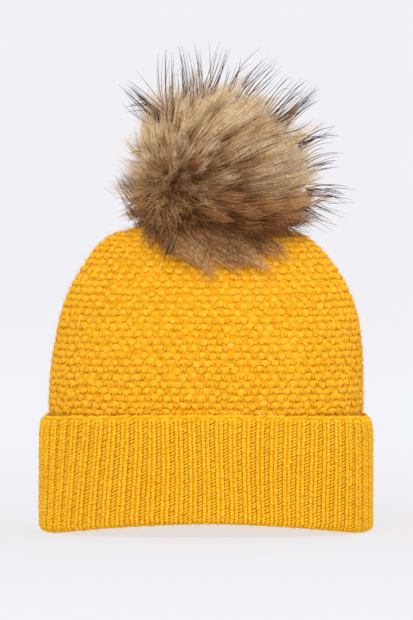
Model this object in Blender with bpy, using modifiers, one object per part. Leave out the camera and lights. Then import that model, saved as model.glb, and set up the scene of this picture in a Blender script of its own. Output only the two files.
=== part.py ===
"""Pom pom beanie: a knitted crown, a ribbed band with a turned-up cuff, and a fur pompom on a press stud.

Metres, +Z up, standing on its hem. X runs along the long way of the oval opening, and -Y is the front.
"""

import math

import bmesh
import bpy
from mathutils import Vector

# ---- Driving dimensions -------------------------------------------------------------------------

GAP = 0.0003  # between neighbouring pieces

OVAL_POWER = 2.5  # 2 would be an ellipse; more is squarer, with a flatter front
OVAL_STEPS = 64  # points round each ring of knitting

CUFF_HALF = (0.1130, 0.0870)  # outside of the cuff, half the long way and half the short way
CUFF_TOP = 0.0780
CUFF_WALL = 0.0045
BAND_HALF = (0.1060, 0.0800)  # outside of the inner layer of ribbing
BAND_WALL = 0.0040
BAND_BOTTOM, BAND_TOP = 0.0045, 0.0760
HEM_ARCH = 0.0080  # how far the hem rises at mid front and mid back
CUFF_TOP_ARCH = 0.36  # share of that rise that reaches the cuff's top edge
HEM_FOOT = 0.94  # beyond this share of the half width the hem lies flat on the floor

CROWN_FOOT = BAND_TOP + GAP
CROWN_APEX = 0.2105
CROWN_WALL = 0.0044
CROWN_DEPTH = 0.0812  # half the short way, at the crown's foot
CROWN_DEPTH_POWER = 2.3
# height and half width of the crown's outside, foot to gathered top
CROWN_OUTLINE = (
    (CROWN_FOOT, 0.1072),
    (0.0965, 0.1069),
    (0.1135, 0.1061),
    (0.1265, 0.1050),
    (0.1400, 0.1034),
    (0.1535, 0.1006),
    (0.1675, 0.0954),
    (0.1805, 0.0877),
    (0.1875, 0.0824),
    (0.1945, 0.0758),
    (0.2012, 0.0665),
    (0.2057, 0.0525),
    (0.2085, 0.0355),
    (0.2099, 0.0204),
)
CROWN_SET = 0.0020  # the crown sits this far towards +X of the cuff, most at its shoulders
GATHER_HOLE = 0.0060  # left in the middle when the top is drawn together

EDGE_CORD = 0.0016  # radius of the rolled cast-on edge
SEAM_WIDTH = 0.0050
SEAM_THICK = 0.0018
LABEL = (0.0220, 0.0008, 0.0340)  # width, thickness, drop
LABEL_X = 0.0210
LABEL_Y = 0.0726
LABEL_TOP = 0.0670

PATCH_Z = (0.2011, 0.2023)
PATCH_RADIUS = 0.0140
POST_RADIUS = 0.0024
POST_CAP = (0.0070, 0.0012)  # radius, thickness
WASHER_Z = (0.2137, 0.2146)
WASHER_RADIUS = 0.0100
GATHER_RING = (0.0076, 0.0013)  # radius of the ring, radius of the yarn
GATHER_RING_Z = 0.2121
STUD_Z = WASHER_Z[1] + GAP
STUD_HEIGHT = 0.0046
STUD_NECK, STUD_BALL, STUD_FLANGE = 0.0019, 0.0025, 0.0068
SOCKET_Z = (0.2162, 0.2204)
SOCKET_RADIUS, SOCKET_BORE = 0.0062, 0.0032
DISC_Z = (SOCKET_Z[1] + GAP, SOCKET_Z[1] + GAP + 0.0014)
DISC_RADIUS, DISC_HOLE = 0.0140, 0.0030
CAP_THICK = 0.0010

NOD_PIVOT_Z = 0.2230
PELT_CENTRE = (0.0040, 0.0, 0.2540)
PELT_RADIUS, PELT_WALL, PELT_MOUTH = 0.0260, 0.0014, 0.0120
STUFFING_RADIUS = PELT_RADIUS - PELT_WALL - GAP
TIE_RING = (0.0135, 0.0011)
TIE_RING_Z = 0.2292

FUR_CENTRE_X = 0.0090
FUR_SIDES = 40
# radius and height of the dense fur's outside, top to underside
FUR_OUTLINE = (
    (0.0, 0.3025),
    (0.0160, 0.3005),
    (0.0310, 0.2940),
    (0.0430, 0.2845),
    (0.0530, 0.2705),
    (0.0580, 0.2555),
    (0.0570, 0.2405),
    (0.0510, 0.2285),
    (0.0420, 0.2215),
    (0.0330, 0.2200),
)
FUR_INNER = ((0.0330, 0.2345), (0.0330, 0.2665), (0.0200, 0.2850), (0.0, 0.2865))
# bearing in degrees from +X, and the drop of each lock that hangs over the crown
SKIRT_LOCKS = (
    (0, 0.0090),
    (26, 0.0180),
    (52, 0.0300),
    (75, 0.0380),
    (98, 0.0400),
    (121, 0.0330),
    (150, 0.0200),
    (180, 0.0120),
    (208, 0.0240),
    (231, 0.0330),
    (252, 0.0400),
    (273, 0.0420),
    (294, 0.0380),
    (315, 0.0300),
    (337, 0.0180),
)
SKIRT_START = (0.0360, 0.2141)  # distance out and height where a hanging lock begins
SKIRT_RADII = (0.0034, 0.0060, 0.0014)
SKIRT_RUN = (0.0460, 0.0580)  # distance out of a hanging lock's middle and end
SKIRT_LONG_WAY = (0.0120, 0.0180)  # added to those along the long way of the oval
SKIRT_ABOVE = (0.0092, 0.0060)  # height over the crown at the middle and end
# tip of each long lock of guard hairs: X, Y, Z
GUARD_TIPS = (
    (-0.0580, -0.0080, 0.3055),
    (-0.0570, 0.0160, 0.2865),
    (-0.0250, 0.0120, 0.3265),
    (-0.0040, -0.0120, 0.3315),
    (0.0160, 0.0140, 0.3305),
    (0.0440, -0.0060, 0.3245),
    (0.0640, 0.0180, 0.3115),
    (0.0780, -0.0120, 0.2975),
    (0.0920, 0.0080, 0.2735),
    (0.0940, -0.0160, 0.2525),
    (0.0970, 0.0060, 0.2315),
    (-0.0620, 0.0040, 0.2445),
    (-0.0590, -0.0160, 0.2255),
    (0.0020, -0.0620, 0.2985),
    (0.0380, -0.0680, 0.2795),
    (0.0120, -0.0810, 0.2565),
    (0.0520, -0.0640, 0.2405),
    (-0.0280, -0.0660, 0.2485),
    (0.0040, 0.0640, 0.2965),
    (0.0160, 0.0810, 0.2585),
    (0.0520, 0.0650, 0.2465),
    (-0.0260, 0.0680, 0.2445),
)
GUARD_RADII = (0.0058, 0.0046, 0.0006)
GUARD_CLEAR = 0.0012  # between the dense fur and the root of a guard lock

MATERIALS = {
    "mustard_wool": ((0.78, 0.38, 0.03, 1.0), 0.90, 0.0),
    "label_tape": ((0.80, 0.78, 0.73, 1.0), 0.80, 0.0),
    "sewing_thread": ((0.70, 0.36, 0.05, 1.0), 0.80, 0.0),
    "felt": ((0.70, 0.35, 0.05, 1.0), 0.95, 0.0),
    "nickel": ((0.72, 0.71, 0.68, 1.0), 0.28, 1.0),
    "pelt_leather": ((0.62, 0.50, 0.38, 1.0), 0.75, 0.0),
    "polyester_fill": ((0.86, 0.86, 0.84, 1.0), 0.95, 0.0),
    "fur": ((0.30, 0.19, 0.11, 1.0), 0.80, 0.0),
    "guard_hair": ((0.09, 0.055, 0.035, 1.0), 0.55, 0.0),
}


# ---- Helpers ------------------------------------------------------------------------------------


def clear_scene():
    for obj in list(bpy.data.objects):
        bpy.data.objects.remove(obj, do_unlink=True)


def finish_for(slot):
    """One material of its own for each node, all alike within a slot."""
    colour, rough, metal = MATERIALS[slot]
    material = bpy.data.materials.new(slot)
    material.use_nodes = True
    shader = material.node_tree.nodes["Principled BSDF"]
    shader.inputs["Base Color"].default_value = colour
    shader.inputs["Roughness"].default_value = rough
    shader.inputs["Metallic"].default_value = metal
    return material


def keep(obj, slot, smooth=True):
    obj.data.materials.clear()
    obj.data.materials.append(finish_for(slot))
    beanie.objects.link(obj)
    if smooth and obj.type == "MESH":
        for face in obj.data.polygons:
            face.use_smooth = True
    return obj


def oval(half_x, half_y, power=OVAL_POWER, steps=OVAL_STEPS):
    """Points round a rounded oval, evenly spaced along it, starting at +X and turning to +Y."""
    fine = []
    for i in range(721):
        turn = 2 * math.pi * i / 720
        c, s = math.cos(turn), math.sin(turn)
        x = half_x * math.copysign(abs(c) ** (2 / power), c)
        y = half_y * math.copysign(abs(s) ** (2 / power), s)
        fine.append((x, y))
    run = [0.0]
    for (x0, y0), (x1, y1) in zip(fine, fine[1:]):
        run.append(run[-1] + math.hypot(x1 - x0, y1 - y0))
    points, at = [], 0
    for i in range(steps):
        want = run[-1] * i / steps
        while run[at + 1] < want:
            at += 1
        share = (want - run[at]) / max(run[at + 1] - run[at], 1e-12)
        (x0, y0), (x1, y1) = fine[at], fine[at + 1]
        points.append((x0 + (x1 - x0) * share, y0 + (y1 - y0) * share))
    return points


def arched(x, half_x, z, top_share=0.0):
    """Height of a point of the cuff or band once the hem is arched, and the top by top_share of that."""
    lift = HEM_ARCH * max(0.0, 1 - (x / half_x / HEM_FOOT) ** 2)
    return z + lift * (1 - (1 - top_share) * z / CUFF_TOP)


def loft(name, rings, slot, ends_meet=True):
    """A closed skin through rings of equal length; the last ring joins the first, or both are capped."""
    mesh = bmesh.new()
    loops = [[mesh.verts.new(p) for p in ring] for ring in rings]
    pairs = list(zip(loops, loops[1:]))
    if ends_meet:
        pairs.append((loops[-1], loops[0]))
    else:
        mesh.faces.new(loops[0])
        mesh.faces.new(loops[-1])
    for low, high in pairs:
        count = len(low)
        for i in range(count):
            j = (i + 1) % count
            mesh.faces.new((low[i], low[j], high[j], high[i]))
    bmesh.ops.recalc_face_normals(mesh, faces=mesh.faces)
    if mesh.calc_volume(signed=True) < 0:
        bmesh.ops.reverse_faces(mesh, faces=mesh.faces)
    data = bpy.data.meshes.new(name)
    mesh.to_mesh(data)
    mesh.free()
    return keep(bpy.data.objects.new(name, data), slot)


def turned(name, profile, slot, centre=(0.0, 0.0), sides=32):
    """A solid turned about an upright axis, from a closed or axis-to-axis profile of (radius, height)."""
    data = bpy.data.meshes.new(name)
    on_axis = profile[0][0] == 0.0
    edges = [(i, i + 1) for i in range(len(profile) - 1)]
    if not on_axis:
        edges.append((len(profile) - 1, 0))
    data.from_pydata([(r, 0.0, z) for r, z in profile], edges, [])
    obj = bpy.data.objects.new(name, data)
    obj.location = (centre[0], centre[1], 0.0)
    screw = obj.modifiers.new("Turn", "SCREW")
    screw.steps = screw.render_steps = sides
    screw.use_merge_vertices = True
    screw.merge_threshold = 0.00001
    screw.use_smooth_shade = True
    return keep(obj, slot, smooth=False)


def ring(name, radius, thickness, z, slot, sides=40):
    bpy.ops.mesh.primitive_torus_add(
        major_radius=radius,
        minor_radius=thickness,
        major_segments=sides,
        minor_segments=8,
        location=(0.0, 0.0, z),
    )
    return adopt(name, slot)


def block(name, low, high, slot, bevel=0.0):
    bpy.ops.mesh.primitive_cube_add(size=1.0)
    obj = bpy.context.object
    obj.scale = [b - a for a, b in zip(low, high)]
    bpy.ops.object.transform_apply(scale=True)
    obj.location = [(a + b) / 2 for a, b in zip(low, high)]
    if bevel:
        round_off = obj.modifiers.new("Round", "BEVEL")
        round_off.width = bevel
        round_off.segments = 2
    return adopt(name, slot, smooth=False)


def adopt(name, slot, smooth=True):
    """Takes the primitive just added into the beanie's collection."""
    obj = bpy.context.object
    for collection in list(obj.users_collection):
        collection.objects.unlink(obj)
    obj.name = obj.data.name = name
    return keep(obj, slot, smooth)


def lock(name, points, radii, slot, sides=2):
    """A tapered tuft of hair along a smooth path."""
    data = bpy.data.curves.new(name, "CURVE")
    data.dimensions = "3D"
    data.bevel_depth = 1.0
    data.bevel_resolution = sides
    data.resolution_u = 4
    data.use_fill_caps = True
    path = data.splines.new("BEZIER")
    path.bezier_points.add(len(points) - 1)
    for handle, place, radius in zip(path.bezier_points, points, radii):
        handle.co = place
        handle.radius = radius
        handle.handle_left_type = handle.handle_right_type = "AUTO"
    return keep(bpy.data.objects.new(name, data), slot)


# ---- Ribbed band and cuff -----------------------------------------------------------------------


def knit_ring(half, inset, z, top_share=0.0):
    """One ring of the cuff or band, that far in from its outside, with the hem's arch."""
    a, b = half[0] - inset, half[1] - inset
    return [(x, y, arched(x, a, z, top_share)) for x, y in oval(a, b)]


def build_inner_rib_band():
    heights = (BAND_BOTTOM, 0.020, 0.040, 0.060, BAND_TOP)
    outside = [knit_ring(BAND_HALF, 0.0, z) for z in heights]
    inside = [knit_ring(BAND_HALF, BAND_WALL, z) for z in reversed(heights)]
    loft("inner_rib_band", outside + inside, "mustard_wool")


def build_turned_up_cuff():
    """A J in section: a tall outer wall, a rounded fold, and a short lip that meets the band's foot."""
    fold = (
        (0.0000, 0.0030),
        (0.0008, 0.0009),
        (0.0028, 0.0),
        (0.0083, 0.0),
        (0.0103, 0.0010),
        (0.0110, 0.0025),
        (0.0110, BAND_BOTTOM - GAP),
        (0.0066, BAND_BOTTOM - GAP),
        (CUFF_WALL, BAND_BOTTOM + 0.0016),
    )
    outer = [(0.0, z) for z in (CUFF_TOP, 0.060, 0.040, 0.020)]
    inner = [(CUFF_WALL, z) for z in (0.020, 0.040, 0.060, CUFF_TOP)]
    rings = [knit_ring(CUFF_HALF, inset, z, CUFF_TOP_ARCH) for inset, z in (*outer, *fold, *inner)]
    loft("turned_up_cuff", rings, "mustard_wool")


def build_cuff_cast_on_edge():
    z = EDGE_CORD + GAP
    rings = []
    for i in range(8):
        turn = 2 * math.pi * i / 8
        edge = knit_ring(CUFF_HALF, CUFF_WALL / 2 - EDGE_CORD * math.cos(turn), CUFF_TOP, CUFF_TOP_ARCH)
        rings.append([(x, y, foot + z + EDGE_CORD * math.sin(turn)) for x, y, foot in edge])
    loft("cuff_cast_on_edge", rings, "mustard_wool")


# ---- Crown --------------------------------------------------------------------------------------


def crown_depth(z):
    share = (z - CROWN_FOOT) / (CROWN_APEX - CROWN_FOOT)
    return CROWN_DEPTH * math.sqrt(max(0.0, 1 - share**CROWN_DEPTH_POWER))


def crown_power(z):
    return OVAL_POWER - 0.5 * (z - CROWN_FOOT) / (CROWN_APEX - CROWN_FOOT)


def crown_set(z):
    """How far towards +X the crown sits at that height."""
    up = min(max((z - 0.095) / 0.050, 0.0), 1.0)
    down = min(max((CROWN_APEX - z) / 0.030, 0.0), 1.0)
    return CROWN_SET * up * up * (3 - 2 * up) * down


def crown_outside():
    rings = []
    for z, half_x in CROWN_OUTLINE:
        aside = crown_set(z)
        rings.append([Vector((x + aside, y, z)) for x, y in oval(half_x, crown_depth(z), crown_power(z))])
    rings.append([Vector((x, y, CROWN_APEX)) for x, y in oval(GATHER_HOLE, GATHER_HOLE, 2.0)])
    return rings


def inward(rings, depth):
    """The rings moved square to the surface they lie on, towards the inside of the hat."""
    moved = []
    for i, row in enumerate(rings):
        below, above = rings[max(i - 1, 0)], rings[min(i + 1, len(rings) - 1)]
        count = len(row)
        new_row = []
        for j, place in enumerate(row):
            along = row[(j + 1) % count] - row[j - 1]
            up = above[j] - below[j]
            if i == 0:
                up = Vector((0.0, 0.0, 1.0))
            new_row.append(place - along.cross(up).normalized() * depth)
        moved.append(new_row)
    return moved


def build_crown_shell():
    outside = crown_outside()
    inside = inward(outside, CROWN_WALL)
    loft("crown_shell", outside + inside[::-1], "mustard_wool")


def seam_ridge(name, spine, slot="mustard_wool"):
    """A flat ridge of joined edges along a path of (point, unit vector into the hat)."""
    rings = []
    for place, into in spine:
        side = Vector((SEAM_WIDTH / 2, 0.0, 0.0))
        near, far = place + into * GAP, place + into * (GAP + SEAM_THICK)
        rings.append([near - side, near + side, far + side * 0.6, far - side * 0.6])
    loft(name, rings, slot, ends_meet=False)


def build_seams():
    """The back seam, where the flat knitted piece is closed into a tube, on the inside of each layer."""
    inside = inward(crown_outside(), CROWN_WALL)
    back = OVAL_STEPS // 4
    column = [row[back] for row in inside[:-3]]
    spine = []
    for i, place in enumerate(column):
        up = column[min(i + 1, len(column) - 1)] - column[max(i - 1, 0)]
        into = Vector((0.0, -up.z, up.y)).normalized()
        if i == 0:
            place = place + Vector((0.0, 0.0, GAP * 2))
        spine.append((Vector((0.0, place.y, place.z)), into))
    seam_ridge("back_seam_crown", spine)

    into = Vector((0.0, -1.0, 0.0))
    flat = BAND_HALF[1] - BAND_WALL
    heights = (0.0080, 0.030, 0.055, BAND_TOP - 0.0004)
    seam_ridge("back_seam_band", [(Vector((0.0, flat, arched(0.0, 1.0, z))), into) for z in heights])
    flat = CUFF_HALF[1] - CUFF_WALL
    heights = (0.0085, 0.030, 0.055, 0.0730)
    seam_ridge("back_seam_cuff", [(Vector((0.0, flat, arched(0.0, 1.0, z))), into) for z in heights])


def build_label():
    """A blank folded tape hanging inside the band, with the stitches that hold it."""
    width, thick, drop = LABEL
    low = (LABEL_X - width / 2, LABEL_Y - thick, LABEL_TOP - drop)
    high = (LABEL_X + width / 2, LABEL_Y, LABEL_TOP)
    block("care_label", low, high, "label_tape")
    front = LABEL_Y - thick - GAP
    low = (LABEL_X - width / 2 + 0.001, front - 0.0006, LABEL_TOP - 0.0026)
    high = (LABEL_X + width / 2 - 0.001, front, LABEL_TOP - 0.0018)
    block("label_stitching", low, high, "sewing_thread")


def build_gathered_top():
    ring("crown_gather_yarn", *GATHER_RING, GATHER_RING_Z, "mustard_wool")
    low, high = PATCH_Z
    hole = POST_RADIUS + GAP
    profile = ((PATCH_RADIUS, high), (PATCH_RADIUS, low), (hole, low), (hole, high))
    turned("inside_patch", profile, "felt")
    radius, thick = POST_CAP
    under = low - GAP
    profile = (
        (0.0, WASHER_Z[1]),
        (POST_RADIUS, WASHER_Z[1]),
        (POST_RADIUS, under),
        (radius, under),
        (radius, under - thick * 0.6),
        (radius * 0.85, under - thick),
        (0.0, under - thick),
    )
    turned("snap_post", profile, "nickel")
    low, high = WASHER_Z
    profile = ((WASHER_RADIUS, high), (WASHER_RADIUS, low), (hole, low), (hole, high))
    turned("snap_washer", profile, "felt")


def build_stud():
    top = STUD_Z + STUD_HEIGHT
    profile = (
        (0.0, top),
        (STUD_BALL * 0.7, top),
        (STUD_BALL, top - 0.0009),
        (STUD_BALL, top - 0.0016),
        (STUD_NECK, top - 0.0026),
        (STUD_NECK, STUD_Z + 0.0010),
        (STUD_FLANGE * 0.9, STUD_Z + 0.0009),
        (STUD_FLANGE, STUD_Z + 0.0005),
        (STUD_FLANGE, STUD_Z),
        (0.0, STUD_Z),
    )
    turned("snap_stud", profile, "nickel")


# ---- Pompom -------------------------------------------------------------------------------------


def build_socket():
    low, high = SOCKET_Z
    roof = STUD_Z + STUD_HEIGHT + GAP
    profile = (
        (0.0, high),
        (SOCKET_RADIUS - 0.0006, high),
        (SOCKET_RADIUS, high - 0.0006),
        (SOCKET_RADIUS, low + 0.0004),
        (SOCKET_RADIUS - 0.0004, low),
        (SOCKET_BORE, low),
        (SOCKET_BORE, roof),
        (0.0, roof),
    )
    turned("snap_socket", profile, "nickel")


def build_base_disc():
    low, high = DISC_Z
    profile = ((DISC_RADIUS, high), (DISC_RADIUS, low), (DISC_HOLE, low), (DISC_HOLE, high))
    turned("pompom_base_disc", profile, "pelt_leather")
    shank = DISC_HOLE - GAP
    under = high + GAP
    profile = (
        (0.0, under + CAP_THICK),
        (0.0050, under + CAP_THICK),
        (0.0060, under + CAP_THICK * 0.5),
        (0.0060, under),
        (shank, under),
        (shank, low),
        (0.0, low),
    )
    turned("socket_cap", profile, "nickel")


def sphere_arc(radius, mouth, steps, outward=True):
    """(radius, height) points of a ball from its top down to a round mouth."""
    last = math.pi - math.asin(mouth / radius)
    points = [(radius * math.sin(last * i / steps), radius * math.cos(last * i / steps)) for i in range(steps + 1)]
    points[0] = (0.0, radius)
    return points if outward else points[::-1]


def build_pelt():
    x, y, z = PELT_CENTRE
    outer = sphere_arc(PELT_RADIUS, PELT_MOUTH, 12)
    inner = sphere_arc(PELT_RADIUS - PELT_WALL, PELT_MOUTH, 12, outward=False)
    turned("pelt_skin", [(r, z + h) for r, h in outer + inner], "pelt_leather", (x, y))
    fill = sphere_arc(STUFFING_RADIUS, PELT_MOUTH - PELT_WALL, 12)
    profile = [(r, z + h) for r, h in fill]
    profile.append((0.0, profile[-1][1]))
    turned("stuffing", profile, "polyester_fill", (x, y))
    tie = ring("pelt_tie_yarn", *TIE_RING, TIE_RING_Z, "sewing_thread")
    tie.location.x = x


def build_dense_fur():
    turned("fur_underwool", (*FUR_OUTLINE, *FUR_INNER), "fur", (FUR_CENTRE_X, 0.0), FUR_SIDES)


def over_crown(bearing, out, above):
    """A point that far out from the middle and that far above the crown's outside."""
    c, s = math.cos(bearing), math.sin(bearing)
    best = CROWN_FOOT
    for step in range(400):
        z = CROWN_FOOT + (CROWN_APEX - CROWN_FOOT) * step / 399
        half_x, half_y = outline_half(z), crown_depth(z)
        if half_y <= 0:
            break
        share = abs(out * c / half_x) ** crown_power(z) + abs(out * s / half_y) ** crown_power(z)
        if share <= 1:
            best = z
    return Vector((out * c, out * s, best + above))


def outline_half(z):
    for (z0, x0), (z1, x1) in zip(CROWN_OUTLINE, CROWN_OUTLINE[1:]):
        if z <= z1:
            return x0 + (x1 - x0) * (z - z0) / (z1 - z0)
    z0, x0 = CROWN_OUTLINE[-1]
    return x0 + (GATHER_HOLE - x0) * (z - z0) / (CROWN_APEX - z0)


def build_skirt():
    """Locks that lie over the crown's top and hang down its front and back."""
    for number, (degrees, drop) in enumerate(SKIRT_LOCKS, 1):
        bearing = math.radians(degrees)
        out, z = SKIRT_START
        points = [Vector((out * math.cos(bearing), out * math.sin(bearing), z))]
        long_way = abs(math.cos(bearing))
        for run, extra, above in zip(SKIRT_RUN, SKIRT_LONG_WAY, SKIRT_ABOVE):
            points.append(over_crown(bearing, run + extra * long_way, above))
        points[-1].z = max(points[-1].z, CROWN_APEX - drop)
        lock(f"fur_skirt_lock_{number:02d}", points, SKIRT_RADII, "fur", sides=1)


def fur_reach(direction, origin):
    """Distance from origin to the outside of the dense fur, along direction."""
    for step in range(200):
        place = origin + direction * (0.0005 * step)
        out = math.hypot(place.x - FUR_CENTRE_X, place.y)
        inside = False
        for (r0, z0), (r1, z1) in zip(FUR_OUTLINE, FUR_OUTLINE[1:]):
            if z1 <= place.z <= z0 and out <= r0 + (r1 - r0) * (z0 - place.z) / (z0 - z1):
                inside = True
        if not inside:
            return 0.0005 * step
    return 0.1


def build_guard_locks():
    """Long locks of guard hairs that stand out from the dense fur all round."""
    heart = Vector((FUR_CENTRE_X, 0.0, 0.2525))
    for number, tip in enumerate(GUARD_TIPS, 1):
        tip = Vector(tip)
        direction = (tip - heart).normalized()
        reach = fur_reach(direction, heart)
        start = heart + direction * (reach + GUARD_CLEAR)
        middle = start.lerp(tip, 0.5) + Vector((0.0, 0.0, 0.0012))
        lock(f"guard_hair_lock_{number:02d}", (start, middle, tip), GUARD_RADII, "guard_hair", sides=1)


# ---- Build --------------------------------------------------------------------------------------

clear_scene()
beanie = bpy.data.collections.new("pom_pom_beanie")
bpy.context.scene.collection.children.link(beanie)

build_inner_rib_band()
build_turned_up_cuff()
build_cuff_cast_on_edge()
build_crown_shell()
build_seams()
build_label()
build_gathered_top()
build_stud()
build_socket()
build_base_disc()
build_pelt()
build_dense_fur()
build_skirt()
build_guard_locks()
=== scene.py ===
# %% [markdown]
# # A pom pom beanie
# This notebook dresses the frame of a knitted winter hat. The frame gives the true size and place of
# every piece. Each cell below replaces a plain solid with what that piece is really made of: stitches
# of wool, a rolled edge, gathered yarn, and thousands of hairs. All of it is built from number arrays,
# because knitting and fur are the same small shape repeated along a path.

# %% Load the frame
import math

import bpy
import numpy as np
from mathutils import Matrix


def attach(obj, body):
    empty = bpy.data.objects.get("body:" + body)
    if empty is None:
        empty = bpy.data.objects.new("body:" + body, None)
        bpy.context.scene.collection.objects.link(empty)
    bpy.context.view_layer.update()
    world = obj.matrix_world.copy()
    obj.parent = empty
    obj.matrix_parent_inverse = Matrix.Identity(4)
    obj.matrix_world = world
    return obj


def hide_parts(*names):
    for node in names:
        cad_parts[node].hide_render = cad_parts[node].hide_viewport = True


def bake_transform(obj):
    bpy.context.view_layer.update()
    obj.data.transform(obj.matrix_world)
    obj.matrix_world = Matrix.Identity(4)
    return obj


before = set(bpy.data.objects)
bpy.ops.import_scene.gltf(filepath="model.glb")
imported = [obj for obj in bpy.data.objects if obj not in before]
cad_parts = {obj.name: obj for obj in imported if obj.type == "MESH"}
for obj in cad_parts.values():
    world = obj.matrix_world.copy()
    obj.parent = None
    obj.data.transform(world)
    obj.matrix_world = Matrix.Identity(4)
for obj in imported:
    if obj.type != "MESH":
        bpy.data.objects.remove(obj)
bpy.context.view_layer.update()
rng = np.random.default_rng(11)

# %% [markdown]
# ## A mesh from arrays
# A knitted hat has thousands of stitches, so adding them one by one would be slow. This helper takes
# all corner points and faces at once. It can also store numbers on the points, such as how far along
# a hair a point lies, which a material can read later.


# %% Mesh helper
def mesh_object(name, points, faces, material, values=None):
    """points (n, 3); faces is a list of arrays, each holding faces with the same number of corners."""
    a, b, c = (points[faces[0][:, corner]] for corner in range(3))
    if np.einsum("ij,ij->", a, np.cross(b, c)) < 0:  # the volume is negative: the faces look inwards
        faces = [f[:, ::-1] for f in faces]
    mesh = bpy.data.meshes.new(name)
    corners = np.concatenate([f.ravel() for f in faces]).astype(np.int32)
    sizes = np.concatenate([np.full(len(f), f.shape[1], np.int32) for f in faces])
    mesh.vertices.add(len(points))
    mesh.vertices.foreach_set("co", np.ascontiguousarray(points, np.float32).ravel())
    mesh.loops.add(len(corners))
    mesh.loops.foreach_set("vertex_index", corners)
    mesh.polygons.add(len(sizes))
    mesh.polygons.foreach_set("loop_start", np.concatenate([[0], np.cumsum(sizes)[:-1]]).astype(np.int32))
    mesh.update(calc_edges=True)
    mesh.polygons.foreach_set("use_smooth", np.ones(len(sizes), bool))
    for key, value in (values or {}).items():
        store = mesh.attributes.new(key, "FLOAT", "POINT")
        store.data.foreach_set("value", np.ascontiguousarray(value, np.float32).ravel())
    mesh.materials.append(material)
    obj = bpy.data.objects.new(name, mesh)
    bpy.context.scene.collection.objects.link(obj)
    return obj


def finish_piece(obj, body, slot, *nodes):
    """Ties a finished piece to the body it moves with, and hides the frame nodes it stands for."""
    if body:
        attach(obj, body)
    if nodes:
        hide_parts(*nodes)
    print(f"{obj.name}: {len(obj.data.polygons)} faces")
    return obj


# %% [markdown]
# ## Tubes and skins
# Two shapes do nearly all the work. A tube follows a path and can be thick or thin along it: that is
# a strand of yarn, a stitch or a hair. A skin is a grid of points wrapped round the hat: that is the
# cloth behind the stitches. Both are closed at their ends, so they are solid from every side.


# %% Tubes and grids
def unit(v):
    return v / np.maximum(np.linalg.norm(v, axis=-1, keepdims=True), 1e-12)


def tubes(name, paths, across, out, facing, sides, material, values=None):
    """Tubes along paths (n, steps, 3). across and out are the radii along and square to facing's side."""
    count, steps = paths.shape[:2]
    ahead = unit(np.gradient(paths, axis=1))
    side = unit(np.cross(ahead, facing))
    front = np.cross(side, ahead)
    turn = 2 * np.pi * np.arange(sides) / sides
    wide = side[:, :, None] * (np.cos(turn)[:, None] * across[:, :, None, None])
    deep = front[:, :, None] * (np.sin(turn)[:, None] * out[:, :, None, None])
    points = (paths[:, :, None] + wide + deep).reshape(-1, 3)
    first = (np.arange(count) * steps * sides)[:, None, None]
    row = np.arange(steps - 1)[None, :, None] * sides
    k = np.arange(sides)[None, None, :]
    after = (k + 1) % sides
    around = np.stack([row + k, row + sides + k, row + sides + after, row + after], -1)
    quads = first[..., None] + around
    head = first[:, 0] + np.arange(sides)
    tail = first[:, 0] + (steps - 1) * sides + np.arange(sides)[::-1]
    spread = {}
    for key, value in (values or {}).items():
        spread[key] = np.repeat(np.broadcast_to(value, (count, steps)).ravel(), sides)
    return mesh_object(name, points, [quads.reshape(-1, 4), head, tail], material, spread)


def grid_skin(name, rings, material, values=None, closed=True):
    """Rings (rows, columns, 3) joined into a skin. closed joins the last ring to the first."""
    rows, columns = rings.shape[:2]
    i = np.arange(rows if closed else rows - 1)[:, None]
    j = np.arange(columns)[None, :]
    up, right = (i + 1) % rows, (j + 1) % columns
    quads = np.stack([i * columns + j, i * columns + right, up * columns + right, up * columns + j], -1)
    faces = [quads.reshape(-1, 4)]
    if not closed:
        faces.append(np.arange(columns)[None, ::-1])
        faces.append((rows - 1) * columns + np.arange(columns)[None, :])
    return mesh_object(name, rings.reshape(-1, 3), faces, material, values)


def through(points, count, closed=False):
    """A smooth line of count points through a few given ones."""
    p = np.asarray(points, float)
    ends = (p[-1:], p[:1], p[1:2]) if closed else (2 * p[:1] - p[1:2], 2 * p[-1:] - p[-2:-1], p[:0])
    p = np.concatenate([ends[0], p, ends[1], ends[2]])
    spans = len(p) - 3
    at = np.linspace(0, spans, count, endpoint=not closed)
    i = np.minimum(at.astype(int), spans - 1)
    t = (at - i)[:, None]
    a, b, c, d = p[i], p[i + 1], p[i + 2], p[i + 3]
    return 0.5 * (2 * b + (c - a) * t + (2 * a - 5 * b + 4 * c - d) * t**2 + (3 * b - a - 3 * c + d) * t**3)


# %% [markdown]
# ## The shape of the hat
# The opening is a rounded oval, flatter than an ellipse at the front, because a band pulled round a
# head and laid down keeps a flat front. The crown keeps almost the full width for two thirds of its
# height and then closes over. A `Cloth` holds such a surface as rings of points and answers one
# question: where is the point this far round, this far up and this far out? Every stitch is placed by
# asking that.

# %% The hat's surfaces
CUFF_HALF = (0.1130, 0.0870)
BAND_HALF = (0.1060, 0.0800)
BAND_WALL = 0.0040
CUFF_WALL = 0.0045
CUFF_TOP = 0.0780
CROWN_FOOT, CROWN_APEX, CROWN_DEPTH = 0.0763, 0.2105, 0.0812
CROWN_SET = 0.0020  # the crown sits this far towards +X of the cuff
HEM_ARCH, HEM_FOOT, CUFF_TOP_ARCH = 0.0080, 0.94, 0.36
CROWN_OUTLINE = (
    (CROWN_FOOT, 0.1072), (0.0965, 0.1069), (0.1135, 0.1061), (0.1265, 0.1047), (0.1400, 0.1027),
    (0.1535, 0.0995), (0.1675, 0.0941), (0.1805, 0.0862), (0.1875, 0.0808), (0.1945, 0.0752),
    (0.2012, 0.0668), (0.2057, 0.0525), (0.2085, 0.0355), (0.2099, 0.0204), (CROWN_APEX, 0.0060),
)


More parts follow.
